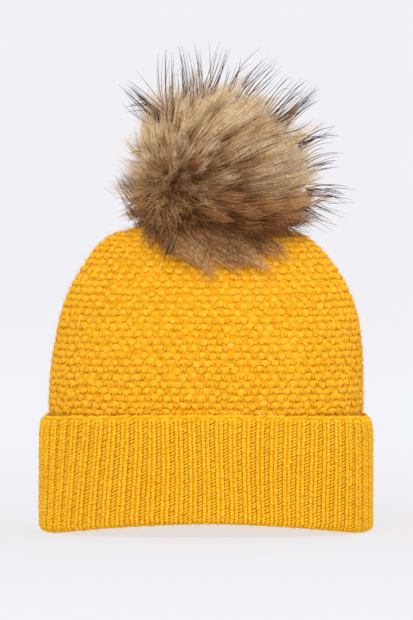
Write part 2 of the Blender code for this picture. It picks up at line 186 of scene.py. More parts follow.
def oval(half_x, half_y, power, count):
    """Points evenly spaced round a rounded oval, from the middle of the front towards +X."""
    turn = np.linspace(0, 2 * np.pi, 1441) - np.pi / 2
    c, s = np.cos(turn), np.sin(turn)
    x = half_x * np.sign(c) * np.abs(c) ** (2 / power)
    y = half_y * np.sign(s) * np.abs(s) ** (2 / power)
    run = np.concatenate([[0], np.cumsum(np.hypot(np.diff(x), np.diff(y)))])
    want = run[-1] * np.arange(count) / count
    return np.stack([np.interp(want, run, x), np.interp(want, run, y)], -1)


class Cloth:
    """A surface round the hat: rings of evenly spaced points, and which way out is at each."""

    def __init__(self, rings):
        self.rings = rings
        self.rows, self.columns = rings.shape[:2]
        along = np.roll(rings, -1, 1) - np.roll(rings, 1, 1)
        self.outward = unit(np.cross(along, np.gradient(rings, axis=0)))
        step = np.linalg.norm(np.diff(rings[:, 0], axis=0), axis=-1)
        self.climb = np.concatenate([[0], np.cumsum(step)])
        self.girth = np.linalg.norm(along, axis=-1).sum(1) / 2

    def blend(self, grid, u, s):
        row = np.clip(np.interp(s, self.climb, np.arange(self.rows)), 0, self.rows - 1.0001)
        column = (u % 1.0) * self.columns
        i, j = row.astype(int), column.astype(int) % self.columns
        a, b = (row - i)[..., None], (column - np.floor(column))[..., None]
        k = (j + 1) % self.columns
        low = grid[i, j] * (1 - b) + grid[i, k] * b
        high = grid[i + 1, j] * (1 - b) + grid[i + 1, k] * b
        return low * (1 - a) + high * a

    def out(self, u, s):
        return unit(self.blend(self.outward, u, s))

    def at(self, u, s, h=0.0):
        """u in turns round the hat, s metres up the front, h metres out from the surface."""
        return self.blend(self.rings, u, s) + self.out(u, s) * np.asarray(h)[..., None]

    def turn_per_metre(self, s):
        return 1.0 / np.interp(s, self.climb, self.girth)


def crown_depth(z):
    return CROWN_DEPTH * np.sqrt(np.maximum(1 - ((z - CROWN_FOOT) / (CROWN_APEX - CROWN_FOOT)) ** 2.3, 0.0))


def crown_power(z):
    return 2.5 - 0.5 * (z - CROWN_FOOT) / (CROWN_APEX - CROWN_FOOT)


def crown_set(z):
    up = np.clip((z - 0.095) / 0.050, 0, 1)
    return CROWN_SET * up * up * (3 - 2 * up) * np.clip((CROWN_APEX - z) / 0.030, 0, 1)


def crown_rings(rows, columns):
    rings = []
    for z, half_x in through(CROWN_OUTLINE, rows):
        half_y = max(float(crown_depth(z)), 0.0060)
        flat = oval(half_x, half_y, crown_power(z), columns) + (crown_set(z), 0)
        rings.append(np.column_stack([flat, np.full(columns, z)]))
    return np.array(rings)


def arched_ring(half, inset, z, top_share, columns):
    """One ring of the cuff or band: the hem is arched, and the cuff's top corners are a little rounded."""
    flat = oval(half[0] - inset, half[1] - inset, 2.5, columns)
    lift = HEM_ARCH * np.maximum(0, 1 - (flat[:, 0] / (half[0] - inset) / HEM_FOOT) ** 2)
    height = z + lift * (1 - (1 - top_share) * z / CUFF_TOP)
    if top_share:
        corner = np.clip((np.abs(flat[:, 0]) / half[0] - 0.86) / 0.14, 0, 1)
        near_top = np.clip((z - CUFF_TOP + 0.022) / 0.022, 0, 1.2)
        height -= 0.0010 * corner**2 * near_top**2
        flat[:, 0] *= 1 - 0.014 * corner * near_top**3
    return np.column_stack([flat, height])


crown = Cloth(crown_rings(180, 360))
# The cuff from inside its fold at the hem, as (how far in, height), then straight up.
fold = (
    (0.0110, 0.0046), (0.0104, 0.0024), (0.0084, 0.0014),
    (0.0056, 0.0012), (0.0030, 0.0014), (0.0009, 0.0026),
)
wall = tuple((0.0, z) for z in np.linspace(0.0056, CUFF_TOP, 9))
cuff_line = through(fold + wall, 120)
cuff = Cloth(np.array([arched_ring(CUFF_HALF, inset, z, CUFF_TOP_ARCH, 360) for inset, z in cuff_line]))
CUFF_ROUND = 0.645  # about once round the cuff
print("crown: front climb", round(crown.climb[-1], 4), "girth at the foot", round(crown.girth[0], 4))
print("cuff: climb", round(cuff.climb[-1], 4), "girth at the top", round(cuff.girth[-1], 4))

# %% [markdown]
# ## Wool
# The yarn is a soft brushed wool in mustard, spun from fibres of slightly different yellows with a few
# pale ones among them. So the colour is never flat: a slow change over the cloth, a change from stitch
# to stitch that the mesh carries, fine fibre noise, and small pale flecks. The numbers the mesh carries
# also hold painted shade, darker where yarn dips behind or between stitches, and dark specks are painted
# shade in the small gaps. Sheen gives the bloom that short loose fibres make where the cloth turns away.


# %% Wool material
class Material:
    """Short words for adding and joining material nodes."""

    def __init__(self, name):
        self.material = bpy.data.materials.new(name)
        self.material.use_nodes = True
        self.tree = self.material.node_tree
        self.shader = self.tree.nodes["Principled BSDF"]

    def add(self, kind, settings=None, **inputs):
        node = self.tree.nodes.new("ShaderNode" + kind)
        for key, value in (settings or {}).items():
            setattr(node, key, value)
        for key, value in inputs.items():
            self.feed(node, key.replace("_", " "), value)
        return node

    def feed(self, node, socket, value):
        target = node.inputs[socket]
        if hasattr(value, "outputs"):
            value = value.outputs[0]
        if isinstance(value, bpy.types.NodeSocket):
            self.tree.links.new(value, target)
        else:
            target.default_value = value

    def ramp(self, factor, *stops):
        node = self.add("ValToRGB", Fac=factor)
        elements = node.color_ramp.elements
        while len(elements) < len(stops):
            elements.new(0.5)
        for element, (place, colour) in zip(elements, stops):
            element.position = place
            element.color = (*colour, 1.0)
        return node

    def mix(self, factor, a, b, how="MIX"):
        node = self.tree.nodes.new("ShaderNodeMix")
        node.data_type = "RGBA"
        node.blend_type = how
        for index, value in ((0, factor), (6, a), (7, b)):
            if hasattr(value, "outputs"):
                value = value.outputs[0]
            if isinstance(value, bpy.types.NodeSocket):
                self.tree.links.new(value, node.inputs[index])
            else:
                node.inputs[index].default_value = value if index == 0 else (*value, 1.0)
        return node.outputs[2]

    def noise(self, scale, detail=2.0, stretch=(1, 1, 1)):
        place = self.add("TexCoord").outputs["Object"]
        spread = self.add("Mapping", Vector=place, Scale=stretch)
        return self.add("TexNoise", Vector=spread, Scale=scale, Detail=detail).outputs["Fac"]

    def number(self, key):
        return self.add("Attribute", {"attribute_name": key}).outputs["Fac"]

    def set(self, **inputs):
        for key, value in inputs.items():
            self.feed(self.shader, key.replace("_", " "), value)
        return self.material


def wool(name, deep, middle, light, fleck=0.55, sheen=0.12, gap_shade=0.55):
    m = Material(name)
    tone_and_shade = m.ramp(m.number("tone_and_shade"), (0.0, deep), (0.5, middle), (1.0, light))
    slow = m.ramp(m.noise(38, 3), (0.35, deep), (0.65, light))
    colour = m.mix(0.28, tone_and_shade, slow)
    fibres = m.ramp(m.noise(1500, 3), (0.30, deep), (0.72, light))
    colour = m.mix(0.34, colour, fibres)
    pale = m.ramp(m.noise(430, 2), (0.62, (0, 0, 0)), (0.70, (fleck,) * 3))
    colour = m.mix(pale, colour, (1.0, 0.60, 0.17))
    # Dark orange specks from noise: painted shade for the small gaps between fibres and stitches.
    gaps = m.ramp(m.noise(820, 2), (0.36, (gap_shade,) * 3), (0.47, (0, 0, 0)))
    colour = m.mix(gaps, colour, (0.60, 0.240, 0.004))
    bump = m.add("Bump", Strength=0.5, Distance=0.0004, Height=m.noise(2300, 3))
    return m.set(
        Base_Color=colour, Roughness=0.95, Normal=bump, Specular_IOR_Level=0.08,
        Sheen_Weight=sheen, Sheen_Roughness=0.5, Sheen_Tint=(1.0, 0.70, 0.16, 1.0),
    )


crown_wool = wool("crown_wool", (0.82, 0.385, 0.005), (0.89, 0.460, 0.010), (0.94, 0.520, 0.028))
rib_wool = wool("rib_wool", (0.87, 0.425, 0.005), (0.94, 0.510, 0.010), (0.99, 0.575, 0.026), fleck=0.45)
# The ground's colours are darker than the stitches' wool: painted shade for the cloth seen between the
# stitches.
shaded_ground_wool = wool(
    "shaded_ground_wool", (0.66, 0.265, 0.002), (0.86, 0.405, 0.005), (0.93, 0.470, 0.010), fleck=0.25
)
print("wool materials:", crown_wool.name, rib_wool.name, shaded_ground_wool.name)

# %% [markdown]
# ## The crown's ground
# Behind the seed stitches lies the cloth they are part of. It could be a plain shell, but its inside
# shows when the hat is tipped, so both faces carry the small staggered bumps of the same stitch. One
# closed skin runs up the outside, round the small gathered hole at the top and down the inside.

# %% Crown ground
SEED_WIDE, SEED_HIGH = 0.0079, 0.0048


def seed_relief(u, s, cloth):
    across = ((u + 0.5) % 1.0 - 0.5) / cloth.turn_per_metre(s) / SEED_WIDE
    up = s / SEED_HIGH
    return np.cos(2 * np.pi * across) * np.cos(np.pi * up)


s_rows = np.linspace(0, crown.climb[-1], 118)
u_columns = np.arange(400) / 400
uu, ss = np.meshgrid(u_columns, s_rows)
relief = seed_relief(uu, ss, crown)
outer = crown.at(uu, ss, -0.0013 + 0.0003 * relief)
inner = crown.at(uu, ss, -0.0040 - 0.0004 * relief)
rings = np.concatenate([outer, inner[::-1]])
# Painted shade: the outer face is darker than the inner, and both faces are darker in the dips of the relief.
tone_and_shade = np.concatenate([0.22 + 0.2 * relief, 0.5 + 0.4 * relief[::-1]])
ground = grid_skin("crown_ground", rings, shaded_ground_wool, {"tone_and_shade": tone_and_shade.ravel()})
finish_piece(ground, "hat", "mustard_wool", "crown_shell")

# %% [markdown]
# ## Seed stitch
# In seed stitch knit and purl change places at every stitch and every row, so the face is covered with
# little yarn bumps set like bricks. Each bump is a short fat arc of yarn that dips at both ends where
# it goes behind. They are placed out from the middle of the front and of the back, so the columns run
# straight up and the hat gets narrower at its two sides, as a knitter would shape it.


# %% Seed stitches
def seed_rows(cloth, high):
    """How far up the cloth each row lies. On steep cloth, rows look evenly spaced from the front."""
    heights, s = [], 0.0024
    while s < cloth.climb[-1] - 0.004:
        heights.append(s)
        here, above = cloth.at(np.zeros(2), np.array([s, s + 0.002]))
        rise = above - here
        s += high / max(rise[2] / np.linalg.norm(rise), 0.80)
    return heights


def seed_places(cloth):
    found = []
    for row, s in enumerate(seed_rows(cloth, SEED_HIGH)):
        per_metre = float(cloth.turn_per_metre(s))
        reach = 0.25 / per_metre
        first = 0.5 * (row % 2)
        most = int((reach / SEED_WIDE - 0.2) - first)
        steps = np.arange(-most - (1 if row % 2 else 0), most + 1) + first
        for middle in (0.0, 0.5):
            found.append(np.column_stack([middle + steps * SEED_WIDE * per_metre, np.full(len(steps), s)]))
    return np.concatenate(found)


places = seed_places(crown)
count = len(places)
t = np.linspace(-1, 1, 7)[None, :]
u0 = places[:, :1] + rng.normal(0, 0.00060, (count, 1)) * crown.turn_per_metre(places[:, 1:])
s0 = places[:, 1:] + rng.normal(0, 0.00070, (count, 1))
half = rng.uniform(0.0020, 0.0027, (count, 1))
tilt = rng.normal(0.0, 0.22, (count, 1))
u = u0 + t * half * crown.turn_per_metre(s0)
s = np.clip(s0 - 0.0010 * t**2 + tilt * t * half, 0.0002, crown.climb[-1] - 0.001)
tucked = 0.0012 * np.clip((0.008 - s0) / 0.006, 0, 1)
h = -0.0018 - tucked + 0.0008 * np.sqrt(np.maximum(1 - t**2, 0)) + rng.normal(0, 0.00020, (count, 1))
paths = crown.at(u, s, h)
thick = rng.uniform(0.00240, 0.00305, (count, 1)) * np.sqrt(1 - 0.86 * t**2)
patch = 0.5 + 0.25 * np.sin(41 * u0 * 2 * np.pi + 90 * s0) * np.sin(260 * s0)
# Each seed's tone varies at random and in slow patches; its ends are darker, painted shade where the yarn
# goes behind.
tone_and_shade = np.clip(patch + rng.normal(0.12, 0.34, (count, 1)) - 0.55 * np.abs(t) ** 3, 0, 1)
out = crown.out(u, s)
seeds = tubes("crown_seed_stitches", paths, thick, thick * 0.36, out, 7, crown_wool, {"tone_and_shade": tone_and_shade})
finish_piece(seeds, "hat", "mustard_wool", "crown_shell")
print("seed stitches:", count)

# %% [markdown]
# ## The stitches between the seeds
# Between two bumps of a row the yarn comes up again as a small V. Each V is two thin legs, laid lower
# than the bumps so that they fill the gaps without hiding them. Leaving them out would show bare
# ground, which a real knitting doesn't have.

# %% The knit stitches between them
legs = []
for side in (-1, 1):
    t = np.linspace(-1, 1, 4)[None, :]
    lean = rng.normal(0, 0.00030, (count, 1))
    between = 0.5 * SEED_WIDE + side * (0.0010 + 0.0006 * t) + lean
    u = places[:, :1] + between * crown.turn_per_metre(places[:, 1:])
    s = places[:, 1:] + 0.0020 * t + rng.normal(0, 0.00045, (count, 1))
    s = np.clip(s, 0.0002, crown.climb[-1] - 0.001)
    h = -0.0013 - tucked + 0.0005 * (1 - t**2) + rng.normal(0, 0.00018, (count, 1))
    legs.append((crown.at(u, s, h), crown.out(u, s)))
paths, outs = (np.concatenate([leg[k] for leg in legs]) for k in (0, 1))
thick = 0.00090 * (1 - 0.45 * t**2) * rng.uniform(0.8, 1.2, (2 * count, 1))
# Random tone, darker at both ends of each leg: painted shade where it slips behind the seeds.
tone_and_shade = np.clip(rng.normal(0.40, 0.34, (2 * count, 1)) - 0.5 * t**2, 0, 1)
knits = tubes("crown_knit_stitches", paths, thick, thick, outs, 5, crown_wool, {"tone_and_shade": tone_and_shade})
finish_piece(knits, "hat", "mustard_wool", "crown_shell")

# %% [markdown]
# ## Ribbing
# The cuff is ribbed: columns of knit stitches stand up as ridges, and columns of purl lie back between
# them. A knit column is a stack of small V shapes, so two thin legs of yarn run up each ridge with a
# dotted line between them. The first step lays out where each rib goes. The ribs are spread a little
# wider at the two ends of the oval, where the cloth is pulled round a tight curve.

# %% Where the ribs run
RIBS = 62
RIB_WIDTH = 0.00905
ROW_HIGH = 0.0021
fine_u = np.linspace(0, 1, 2881)
fine_x = cuff.at(fine_u, np.full_like(fine_u, 0.06))[:, 0]
density = 1 - 0.42 + 0.42 * np.abs(np.gradient(fine_x, fine_u)) / cuff.girth[-1]
ribs_run = np.concatenate([[0], np.cumsum((density[1:] + density[:-1]) / 2)])
ribs_run *= RIBS / ribs_run[-1]


def rib_turn(number):
    """How far round the hat rib number lies, in turns. Parts of a rib count as parts of a number."""
    return np.interp(number % RIBS, ribs_run, fine_u)


def rib_width(number):
    """Width of a rib in metres, from how far apart its middle and its edge are."""
    middle = np.asarray(number) % (RIBS - 1)
    return (rib_turn(middle + 0.5) - rib_turn(middle)) * 2 * CUFF_ROUND


def lean(u, s):
    """The left end of the cuff was pulled outward when it was folded, so its ribs lean there."""
    left = 1 - (u % 1.0)
    rise = np.clip((left - 0.03) / 0.13, 0, 1)
    fall = 1 - np.clip((left - 0.19) / 0.08, 0, 1)
    down = np.clip(1 - s / cuff.climb[-1], 0, 1) ** 1.4
    wander = 0.0006 * np.sin(2 * np.pi * (5 * u + 9 * s))
    return (-0.0105 * rise * rise * (3 - 2 * rise) * fall * down + wander) / CUFF_ROUND


print("rib pitch at the middle of the front:", round(float(rib_turn(1.0)) * CUFF_ROUND, 5))

# %% [markdown]
# ## The cuff's ground and edge
# One closed skin makes the turned-up cuff: up the outside, over the top, down the inside and round the
# fold at the hem. It dips between the ribs, so the valleys are real. The cast-on edge at the top is a
# chain of small slanted loops, which stands a little proud and catches the light.


# %% Cuff ground
def sink(s):
    """How deep the valleys between ribs are at that climb: the fold at the hem pulls them flat."""
    return 0.25 + 0.75 * np.clip((s - 0.006) / 0.012, 0, 1)


def ribbed(cloth, numbers, s, ridge, valley):
    """Points on a cloth that rise on each rib and sink between."""
    u = rib_turn(numbers)
    wave = np.clip(0.62 + 0.75 * np.cos(2 * np.pi * numbers), 0, 1)
    valley = ridge + (valley - ridge) * sink(s)
    return cloth.at(u + lean(u, s), s, valley + (ridge - valley) * wave), wave


numbers = np.arange(RIBS * 10) / 10
s_rows = np.concatenate([np.linspace(0, 0.014, 12), np.linspace(0.0165, cuff.climb[-1], 26)])
nn, ss = np.meshgrid(numbers, s_rows)
outer, wave = ribbed(cuff, nn, ss, -0.0011, -0.00165)
heights = np.linspace(0.0062, CUFF_TOP, 40)
inside = Cloth(np.array([arched_ring(CUFF_HALF, CUFF_WALL, z, CUFF_TOP_ARCH, 360) for z in heights]))
s_back = np.linspace(0, inside.climb[-1], 14)[::-1]
nb, sb = np.meshgrid(numbers, s_back)
wave_back = np.clip(0.5 - 0.75 * np.cos(2 * np.pi * nb), 0, 1)
inner = inside.at(rib_turn(nb), sb, 0.0002 + 0.0009 * (1 - wave_back))
rings = np.concatenate([outer, inner])
# Painted shade: darker in the valleys between ribs, on both faces.
tone_and_shade = np.concatenate([0.42 + 0.35 * wave, 0.42 + 0.35 * wave_back])
cuff_ground = grid_skin("cuff_ground", rings, shaded_ground_wool, {"tone_and_shade": tone_and_shade.ravel()})
finish_piece(cuff_ground, "cuff", "mustard_wool", "turned_up_cuff")

# %% [markdown]
# ## The knit columns of the cuff
# Each ridge of the ribbing is a stack of V shapes. A texture could draw them, but the outline of the
# cuff would stay smooth. So both legs of every V are a short tube that is fat in its middle and thin
# where it slips behind the next one.

# %% Cuff knit stitches
def knit_legs(name, first, last):
    """The two slanted legs of every V on ribs first to last."""
    rows = np.arange(0.0012, cuff.climb[-1] - 0.0004, ROW_HIGH)
    rib, s0 = [a.ravel()[:, None] for a in np.meshgrid(np.arange(first, last), rows)]
    width = rib_width(rib) / RIB_WIDTH
    t = np.linspace(-1, 1, 5)[None, :]
    paths, outs, thick, tones_and_shades = [], [], [], []
    for side in (-1, 1):
        x = side * (0.00150 + 0.00070 * t) * width
        s = np.clip(s0 + 0.00140 * t + rng.normal(0, 0.00016, s0.shape), 0.0001, cuff.climb[-1])
        u = rib_turn(rib.astype(float)) + (x + rng.normal(0, 0.00013, s0.shape)) / CUFF_ROUND
        h = -0.00145 + 0.00085 * (1 - t**2) + rng.normal(0, 0.00010, s0.shape)
        h = h - 0.0004 * np.clip(1 - s0 / 0.012, 0, 1)  # the fold at the hem pulls the legs in
        paths.append(cuff.at(u + lean(u, s), s, h))
        outs.append(cuff.out(u, s))
        thick.append(0.00134 * (1 - 0.50 * t**2) * np.sqrt(width) * rng.uniform(0.88, 1.12, s0.shape))
        # Random tone, darker at the ends of each leg: painted shade where it slips behind the next.
        tones_and_shades.append(np.clip(0.66 + rng.normal(0, 0.24, s0.shape) - 0.45 * t**4, 0, 1))
    paths, outs, thick, tones_and_shades = [np.concatenate(a) for a in (paths, outs, thick, tones_and_shades)]
    legs = tubes(name, paths, thick, thick * 0.9, outs, 5, rib_wool, {"tone_and_shade": tones_and_shades})
    return finish_piece(legs, "cuff", "mustard_wool", "turned_up_cuff")


knit_legs("cuff_knit_right", 0, RIBS // 2)
knit_legs("cuff_knit_left", RIBS // 2, RIBS)

# %% [markdown]
# ## The purl columns of the cuff
# Down in the valleys the yarn crosses from side to side. One short slanted bar for each row is enough,
# because only its middle shows between two ridges.

# %% Cuff purl stitches
rows = np.arange(0.0022, cuff.climb[-1] - 0.001, ROW_HIGH)
rib, s0 = [a.ravel()[:, None] for a in np.meshgrid(np.arange(RIBS) + 0.5, rows)]
width = rib_width(rib) / RIB_WIDTH
t = np.linspace(-1, 1, 4)[None, :]
u = rib_turn(rib) + 0.0016 * t * width / CUFF_ROUND
s = np.clip(s0 + 0.0010 * t + rng.normal(0, 0.00015, s0.shape), 0.0001, cuff.climb[-1])
paths = cuff.at(u + lean(u, s), s, -0.00098 - 0.0004 * sink(s) + 0.0004 * (1 - t**2))
thick = 0.00098 * (1 - 0.3 * t**2) + 0 * s
# Random tone, a little darker at the bar's ends: painted shade where they pass behind the ridges.
tone_and_shade = np.clip(0.66 + rng.normal(0, 0.22, s0.shape) - 0.2 * t**2, 0, 1)
purls = tubes("cuff_purl", paths, thick, thick, cuff.out(u, s), 4, rib_wool, {"tone_and_shade": tone_and_shade})
finish_piece(purls, "cuff", "mustard_wool", "turned_up_cuff")

# %% [markdown]
# ## The edge of the cuff
# The first row of knitting is a chain of slanting loops. It runs along the top of the turned-up cuff,
# and it is the only place where the yarn goes round the hat instead of up it.

# %% Cast-on edge
loops = 240
turn = np.arange(loops)[:, None] / loops
t = np.linspace(-1, 1, 5)[None, :]
heights = (CUFF_TOP - 0.004, CUFF_TOP, CUFF_TOP + 0.0035)
edge = Cloth(np.array([arched_ring(CUFF_HALF, 0.0008, z, CUFF_TOP_ARCH, 360) for z in heights]))
u = turn + t * 0.0021 / CUFF_ROUND
s = edge.climb[1] + 0.0006 + 0.0012 * t + rng.normal(0, 0.0002, turn.shape)
paths = edge.at(u, s, -0.0016 + 0.0006 * (1 - t**2))
thick = 0.00100 * (1 - 0.45 * t**2) * rng.uniform(0.8, 1.2, turn.shape)
tone_and_shade = np.clip(0.55 + rng.normal(0, 0.2, turn.shape), 0, 1)
cast_on = tubes("cast_on_edge", paths, thick, thick, edge.out(u, s), 6, rib_wool, {"tone_and_shade": tone_and_shade})
finish_piece(cast_on, "cuff", "mustard_wool", "cuff_cast_on_edge")

# %% [markdown]
# ## The inner band
# Behind the cuff the same ribbing carries on as the layer that touches the head. It is seen from below
# and when the cuff is turned down, so both faces are ribbed. The legs of the stitches are modelled as
# part of the skin here, because the yarn is pressed flat against the cuff.

# %% Inner band
band_rows = np.linspace(0.0046, 0.0757, 60)
band_out = Cloth(np.array([arched_ring(BAND_HALF, 0.0, z, 0.0, 360) for z in band_rows]))
band_in = Cloth(np.array([arched_ring(BAND_HALF, BAND_WALL, z, 0.0, 360) for z in band_rows]))
numbers = np.arange(RIBS * 12) / 12
nn, ss = np.meshgrid(numbers, band_out.climb)
wave = np.clip(0.5 + 0.75 * np.cos(2 * np.pi * nn), 0, 1)
stitch = 0.5 + 0.5 * np.cos(2 * np.pi * (ss / ROW_HIGH / 2 - np.abs(((nn + 0.5) % 1) - 0.5) * 3))
outer = band_out.at(rib_turn(nn), ss, -0.0012 + 0.0009 * wave + 0.0003 * stitch * wave)
inner = band_in.at(rib_turn(nn), ss, 0.0009 * wave - 0.0003 * stitch * (1 - wave))
rings = np.concatenate([outer, inner[::-1]])
# Painted shade: lighter on ridges and stitch tops, darker in the valleys, on both faces.
tone_and_shade = np.concatenate([0.3 + 0.5 * wave * stitch, 0.3 + 0.5 * ((1 - wave) * stitch)[::-1]])
band = grid_skin("inner_rib_band_knit", rings, rib_wool, {"tone_and_shade": tone_and_shade.ravel()})
finish_piece(band, "hat", "mustard_wool", "inner_rib_band")

# %% [markdown]
# ## Seams
# Each layer is knitted flat and closed at the back of the hat. The joined edges make a low ridge on
# the inside, held by slanting overcast stitches that lie close to each other. So each seam is a row of
# short tubes of yarn, one per stitch, that overlap into a ridge.


# %% Seams
def overcast(name, spine, inward, body, node):
    """Slanted stitches along a line of points; inward points into the hat at each."""
    spine, inward = np.asarray(spine), unit(np.asarray(inward))
    run = np.concatenate([[0], np.cumsum(np.linalg.norm(np.diff(spine, axis=0), axis=1))])
    steps = np.arange(0.0008, run[-1] - 0.0006, 0.0019)
    foot = np.stack([np.interp(steps, run, spine[:, k]) for k in range(3)], -1)
    into = unit(np.stack([np.interp(steps, run, inward[:, k]) for k in range(3)], -1))
    ahead = unit(np.gradient(foot, axis=0))
    side = np.array((1.0, 0.0, 0.0))
    t = np.linspace(-1, 1, 7)[None, :, None]
    paths = foot[:, None] + side * 0.0021 * t + ahead[:, None] * 0.0008 * t
    paths = paths + into[:, None] * (0.0002 + 0.0009 * (1 - t**2))
    thick = 0.00085 * (1 - 0.35 * t[..., 0] ** 2) + 0 * steps[:, None]
    tone_and_shade = np.clip(rng.normal(0.5, 0.18, (len(steps), 1)), 0, 1)
    out = np.broadcast_to(into[:, None], paths.shape)
    seam = tubes(name, paths, thick, thick, out, 6, rib_wool, {"tone_and_shade": tone_and_shade})
    return finish_piece(seam, body, "mustard_wool", node)


def arch_at_middle(z, top_share=0.0):
    return z + HEM_ARCH * (1 - (1 - top_share) * z / CUFF_TOP)


s_line = np.linspace(0.0015, crown.climb[-1] - 0.030, 60)
back_line = crown.at(np.full(60, 0.5), s_line, -0.0049)
overcast("crown_seam", back_line, -crown.out(np.full(60, 0.5), s_line), "hat", "back_seam_crown")
z_line = np.linspace(0.0080, 0.0753, 40)
toward = np.tile((0.0, -1.0, 0.0), (40, 1))
line = np.column_stack([np.zeros(40), np.full(40, BAND_HALF[1] - BAND_WALL - 0.0006), arch_at_middle(z_line)])
overcast("band_seam", line, toward, "hat", "back_seam_band")
z_line = np.linspace(0.0088, 0.0727, 40)
line = np.column_stack([np.zeros(40), np.full(40, CUFF_HALF[1] - CUFF_WALL - 0.0005), arch_at_middle(z_line)])
overcast("cuff_seam", line, toward, "cuff", "back_seam_cuff")

# %% [markdown]
# ## Label, patch and yarn
# A blank woven tape is folded double and sewn inside the band. At the top, the cloth is drawn together
# with a length of yarn, and a felt patch inside and a felt washer outside carry the press stud so that
# it can't pull through the knitting. A yarn is a few strands twisted round each other, so it is
# modelled as that many tubes winding along one line.


# %% Sewn materials
def plain_cloth(name, low, high, weave, rough=0.9, sheen=0.1):
    m = Material(name)
    colour = m.ramp(m.noise(300, 3), (0.30, low), (0.72, high))
    place = m.add("TexCoord").outputs["Object"]
    threads = m.add("TexWave", {"wave_type": "BANDS", "bands_direction": "Z"}, Vector=place)
    m.feed(threads, "Scale", weave)
    m.feed(threads, "Distortion", 1.5)
    shade = m.ramp(threads.outputs["Fac"], (0.2, (0.78, 0.78, 0.78)), (0.8, (1.0, 1.0, 1.0)))
    colour = m.mix(1.0, colour, shade, "MULTIPLY")
    bump = m.add("Bump", Strength=0.4, Distance=0.0003, Height=m.noise(1800, 3))
    return m.set(
        Base_Color=colour, Roughness=rough, Normal=bump, Specular_IOR_Level=0.25,
        Sheen_Weight=sheen, Sheen_Roughness=0.5,
    )


tape = plain_cloth("label_tape", (0.70, 0.67, 0.60), (0.86, 0.84, 0.78), 900)
thread = plain_cloth("sewing_thread", (0.62, 0.28, 0.02), (0.85, 0.45, 0.06), 700)
felt = plain_cloth("felt", (0.55, 0.24, 0.02), (0.80, 0.42, 0.06), 260, 0.97, 0.3)
leather = plain_cloth("pelt_leather", (0.42, 0.31, 0.21), (0.68, 0.55, 0.42), 90, 0.72, 0.05)
fill = plain_cloth("polyester_fill", (0.80, 0.80, 0.79), (0.92, 0.92, 0.91), 400, 0.95, 0.3)
print("sewn materials:", tape.name, thread.name, felt.name, leather.name, fill.name)

# %% [markdown]
# ## The label
# The tape is folded double, with its ends sewn to the band and its fold hanging free. A thin skin that
# goes down in front and comes up behind gives both layers at once, and a small curl keeps it from
# looking like a card. Thirteen short stitches hold it.

# %% Label
rows, loop = np.linspace(0.0102, 0.0318, 24), np.linspace(0, 1, 60, endpoint=False)
down = 0.0345
back_and_front = np.concatenate([np.linspace(0, 1, 30), np.linspace(1, 0, 30)])
z_loop = 0.0670 - down * back_and_front
depth = np.where(loop < 0.5, 0.0, -0.00085) + 0.0002 * np.sin(9 * back_and_front)
rings = []
for x in rows:
    curl = 0.0007 * ((x - 0.021) / 0.011) ** 2 * back_and_front - 0.0010 * back_and_front**2
    rings.append(np.column_stack([np.full(60, x), 0.0727 + depth + curl, z_loop]))
label = grid_skin("label", np.array(rings), tape, closed=False)
finish_piece(label, "hat", "label_tape", "care_label")
across = np.linspace(0.0112, 0.0308, 13)
t = np.linspace(-1, 1, 5)[None, :]
flat = 0 * across[:, None] + 0 * t
stitches = np.stack([across[:, None] + 0.00062 * t, 0.0716 - 0.0003 * (1 - t**2) + flat, 0.0648 + flat], -1)
thick = np.full((13, 5), 0.00026)
inward = np.broadcast_to((0.0, -1.0, 0.0), stitches.shape)
sewn = tubes("label_stitches", stitches, thick, thick, inward, 6, thread)
finish_piece(sewn, "hat", "sewing_thread", "label_stitching")


# %% [markdown]
# ## Yarn rings and discs
# The yarn that gathers the crown and the thread that ties the fur are rings, so their strands wind
# round a circle. The felt and leather pieces are discs with a hole, and a closed profile turned round
# the middle makes them. A little unevenness shows that they were cut by hand.

# %% Twisted yarn and turned discs
def twisted_ring(name, centre, radius, thick, plies, turns, material):
    t = np.linspace(0, 2 * np.pi, 121)
    paths = []
    for ply in range(plies):
        spin = turns * t + 2 * np.pi * ply / plies
        r = radius + 0.55 * thick * np.cos(spin)
        z = 0.55 * thick * np.sin(spin) + 0.0002 * np.sin(3 * t)
        paths.append(np.column_stack([centre[0] + r * np.cos(t), centre[1] + r * np.sin(t), centre[2] + z]))
    paths = np.array(paths)
    width = np.full(paths.shape[:2], thick * 0.52)
    up = np.broadcast_to((0.0, 0.0, 1.0), paths.shape)
    return tubes(name, paths, width, width, up, 7, material, {"tone_and_shade": np.full((plies, 1), 0.5)})


def turned(name, profile, centre, material, columns=96, wobble=0.0):
    """A closed profile of (radius, height) turned round centre. wobble makes it a little uneven."""
    turn = 2 * np.pi * np.arange(columns) / columns
    rings = []
    for r, z in profile:
        uneven = 1 + wobble * (np.sin(5 * turn + 40 * z) + 0.6 * np.sin(11 * turn + 90 * z)) / 2
        radius = r * uneven
        x, y = centre[0] + radius * np.cos(turn), centre[1] + radius * np.sin(turn)
        rings.append(np.column_stack([x, y, np.full(columns, z)]))
    return grid_skin(name, np.array(rings), material)


def washer_profile(outer, inner, low, high):
    mid, half = (low + high) / 2, (high - low) / 2
    round_edge = np.linspace(-np.pi / 2, np.pi / 2, 7)
    edge = [(outer - half + half * np.cos(a), mid + half * np.sin(a)) for a in round_edge]
    return [(inner, low), *edge, (inner, high)]


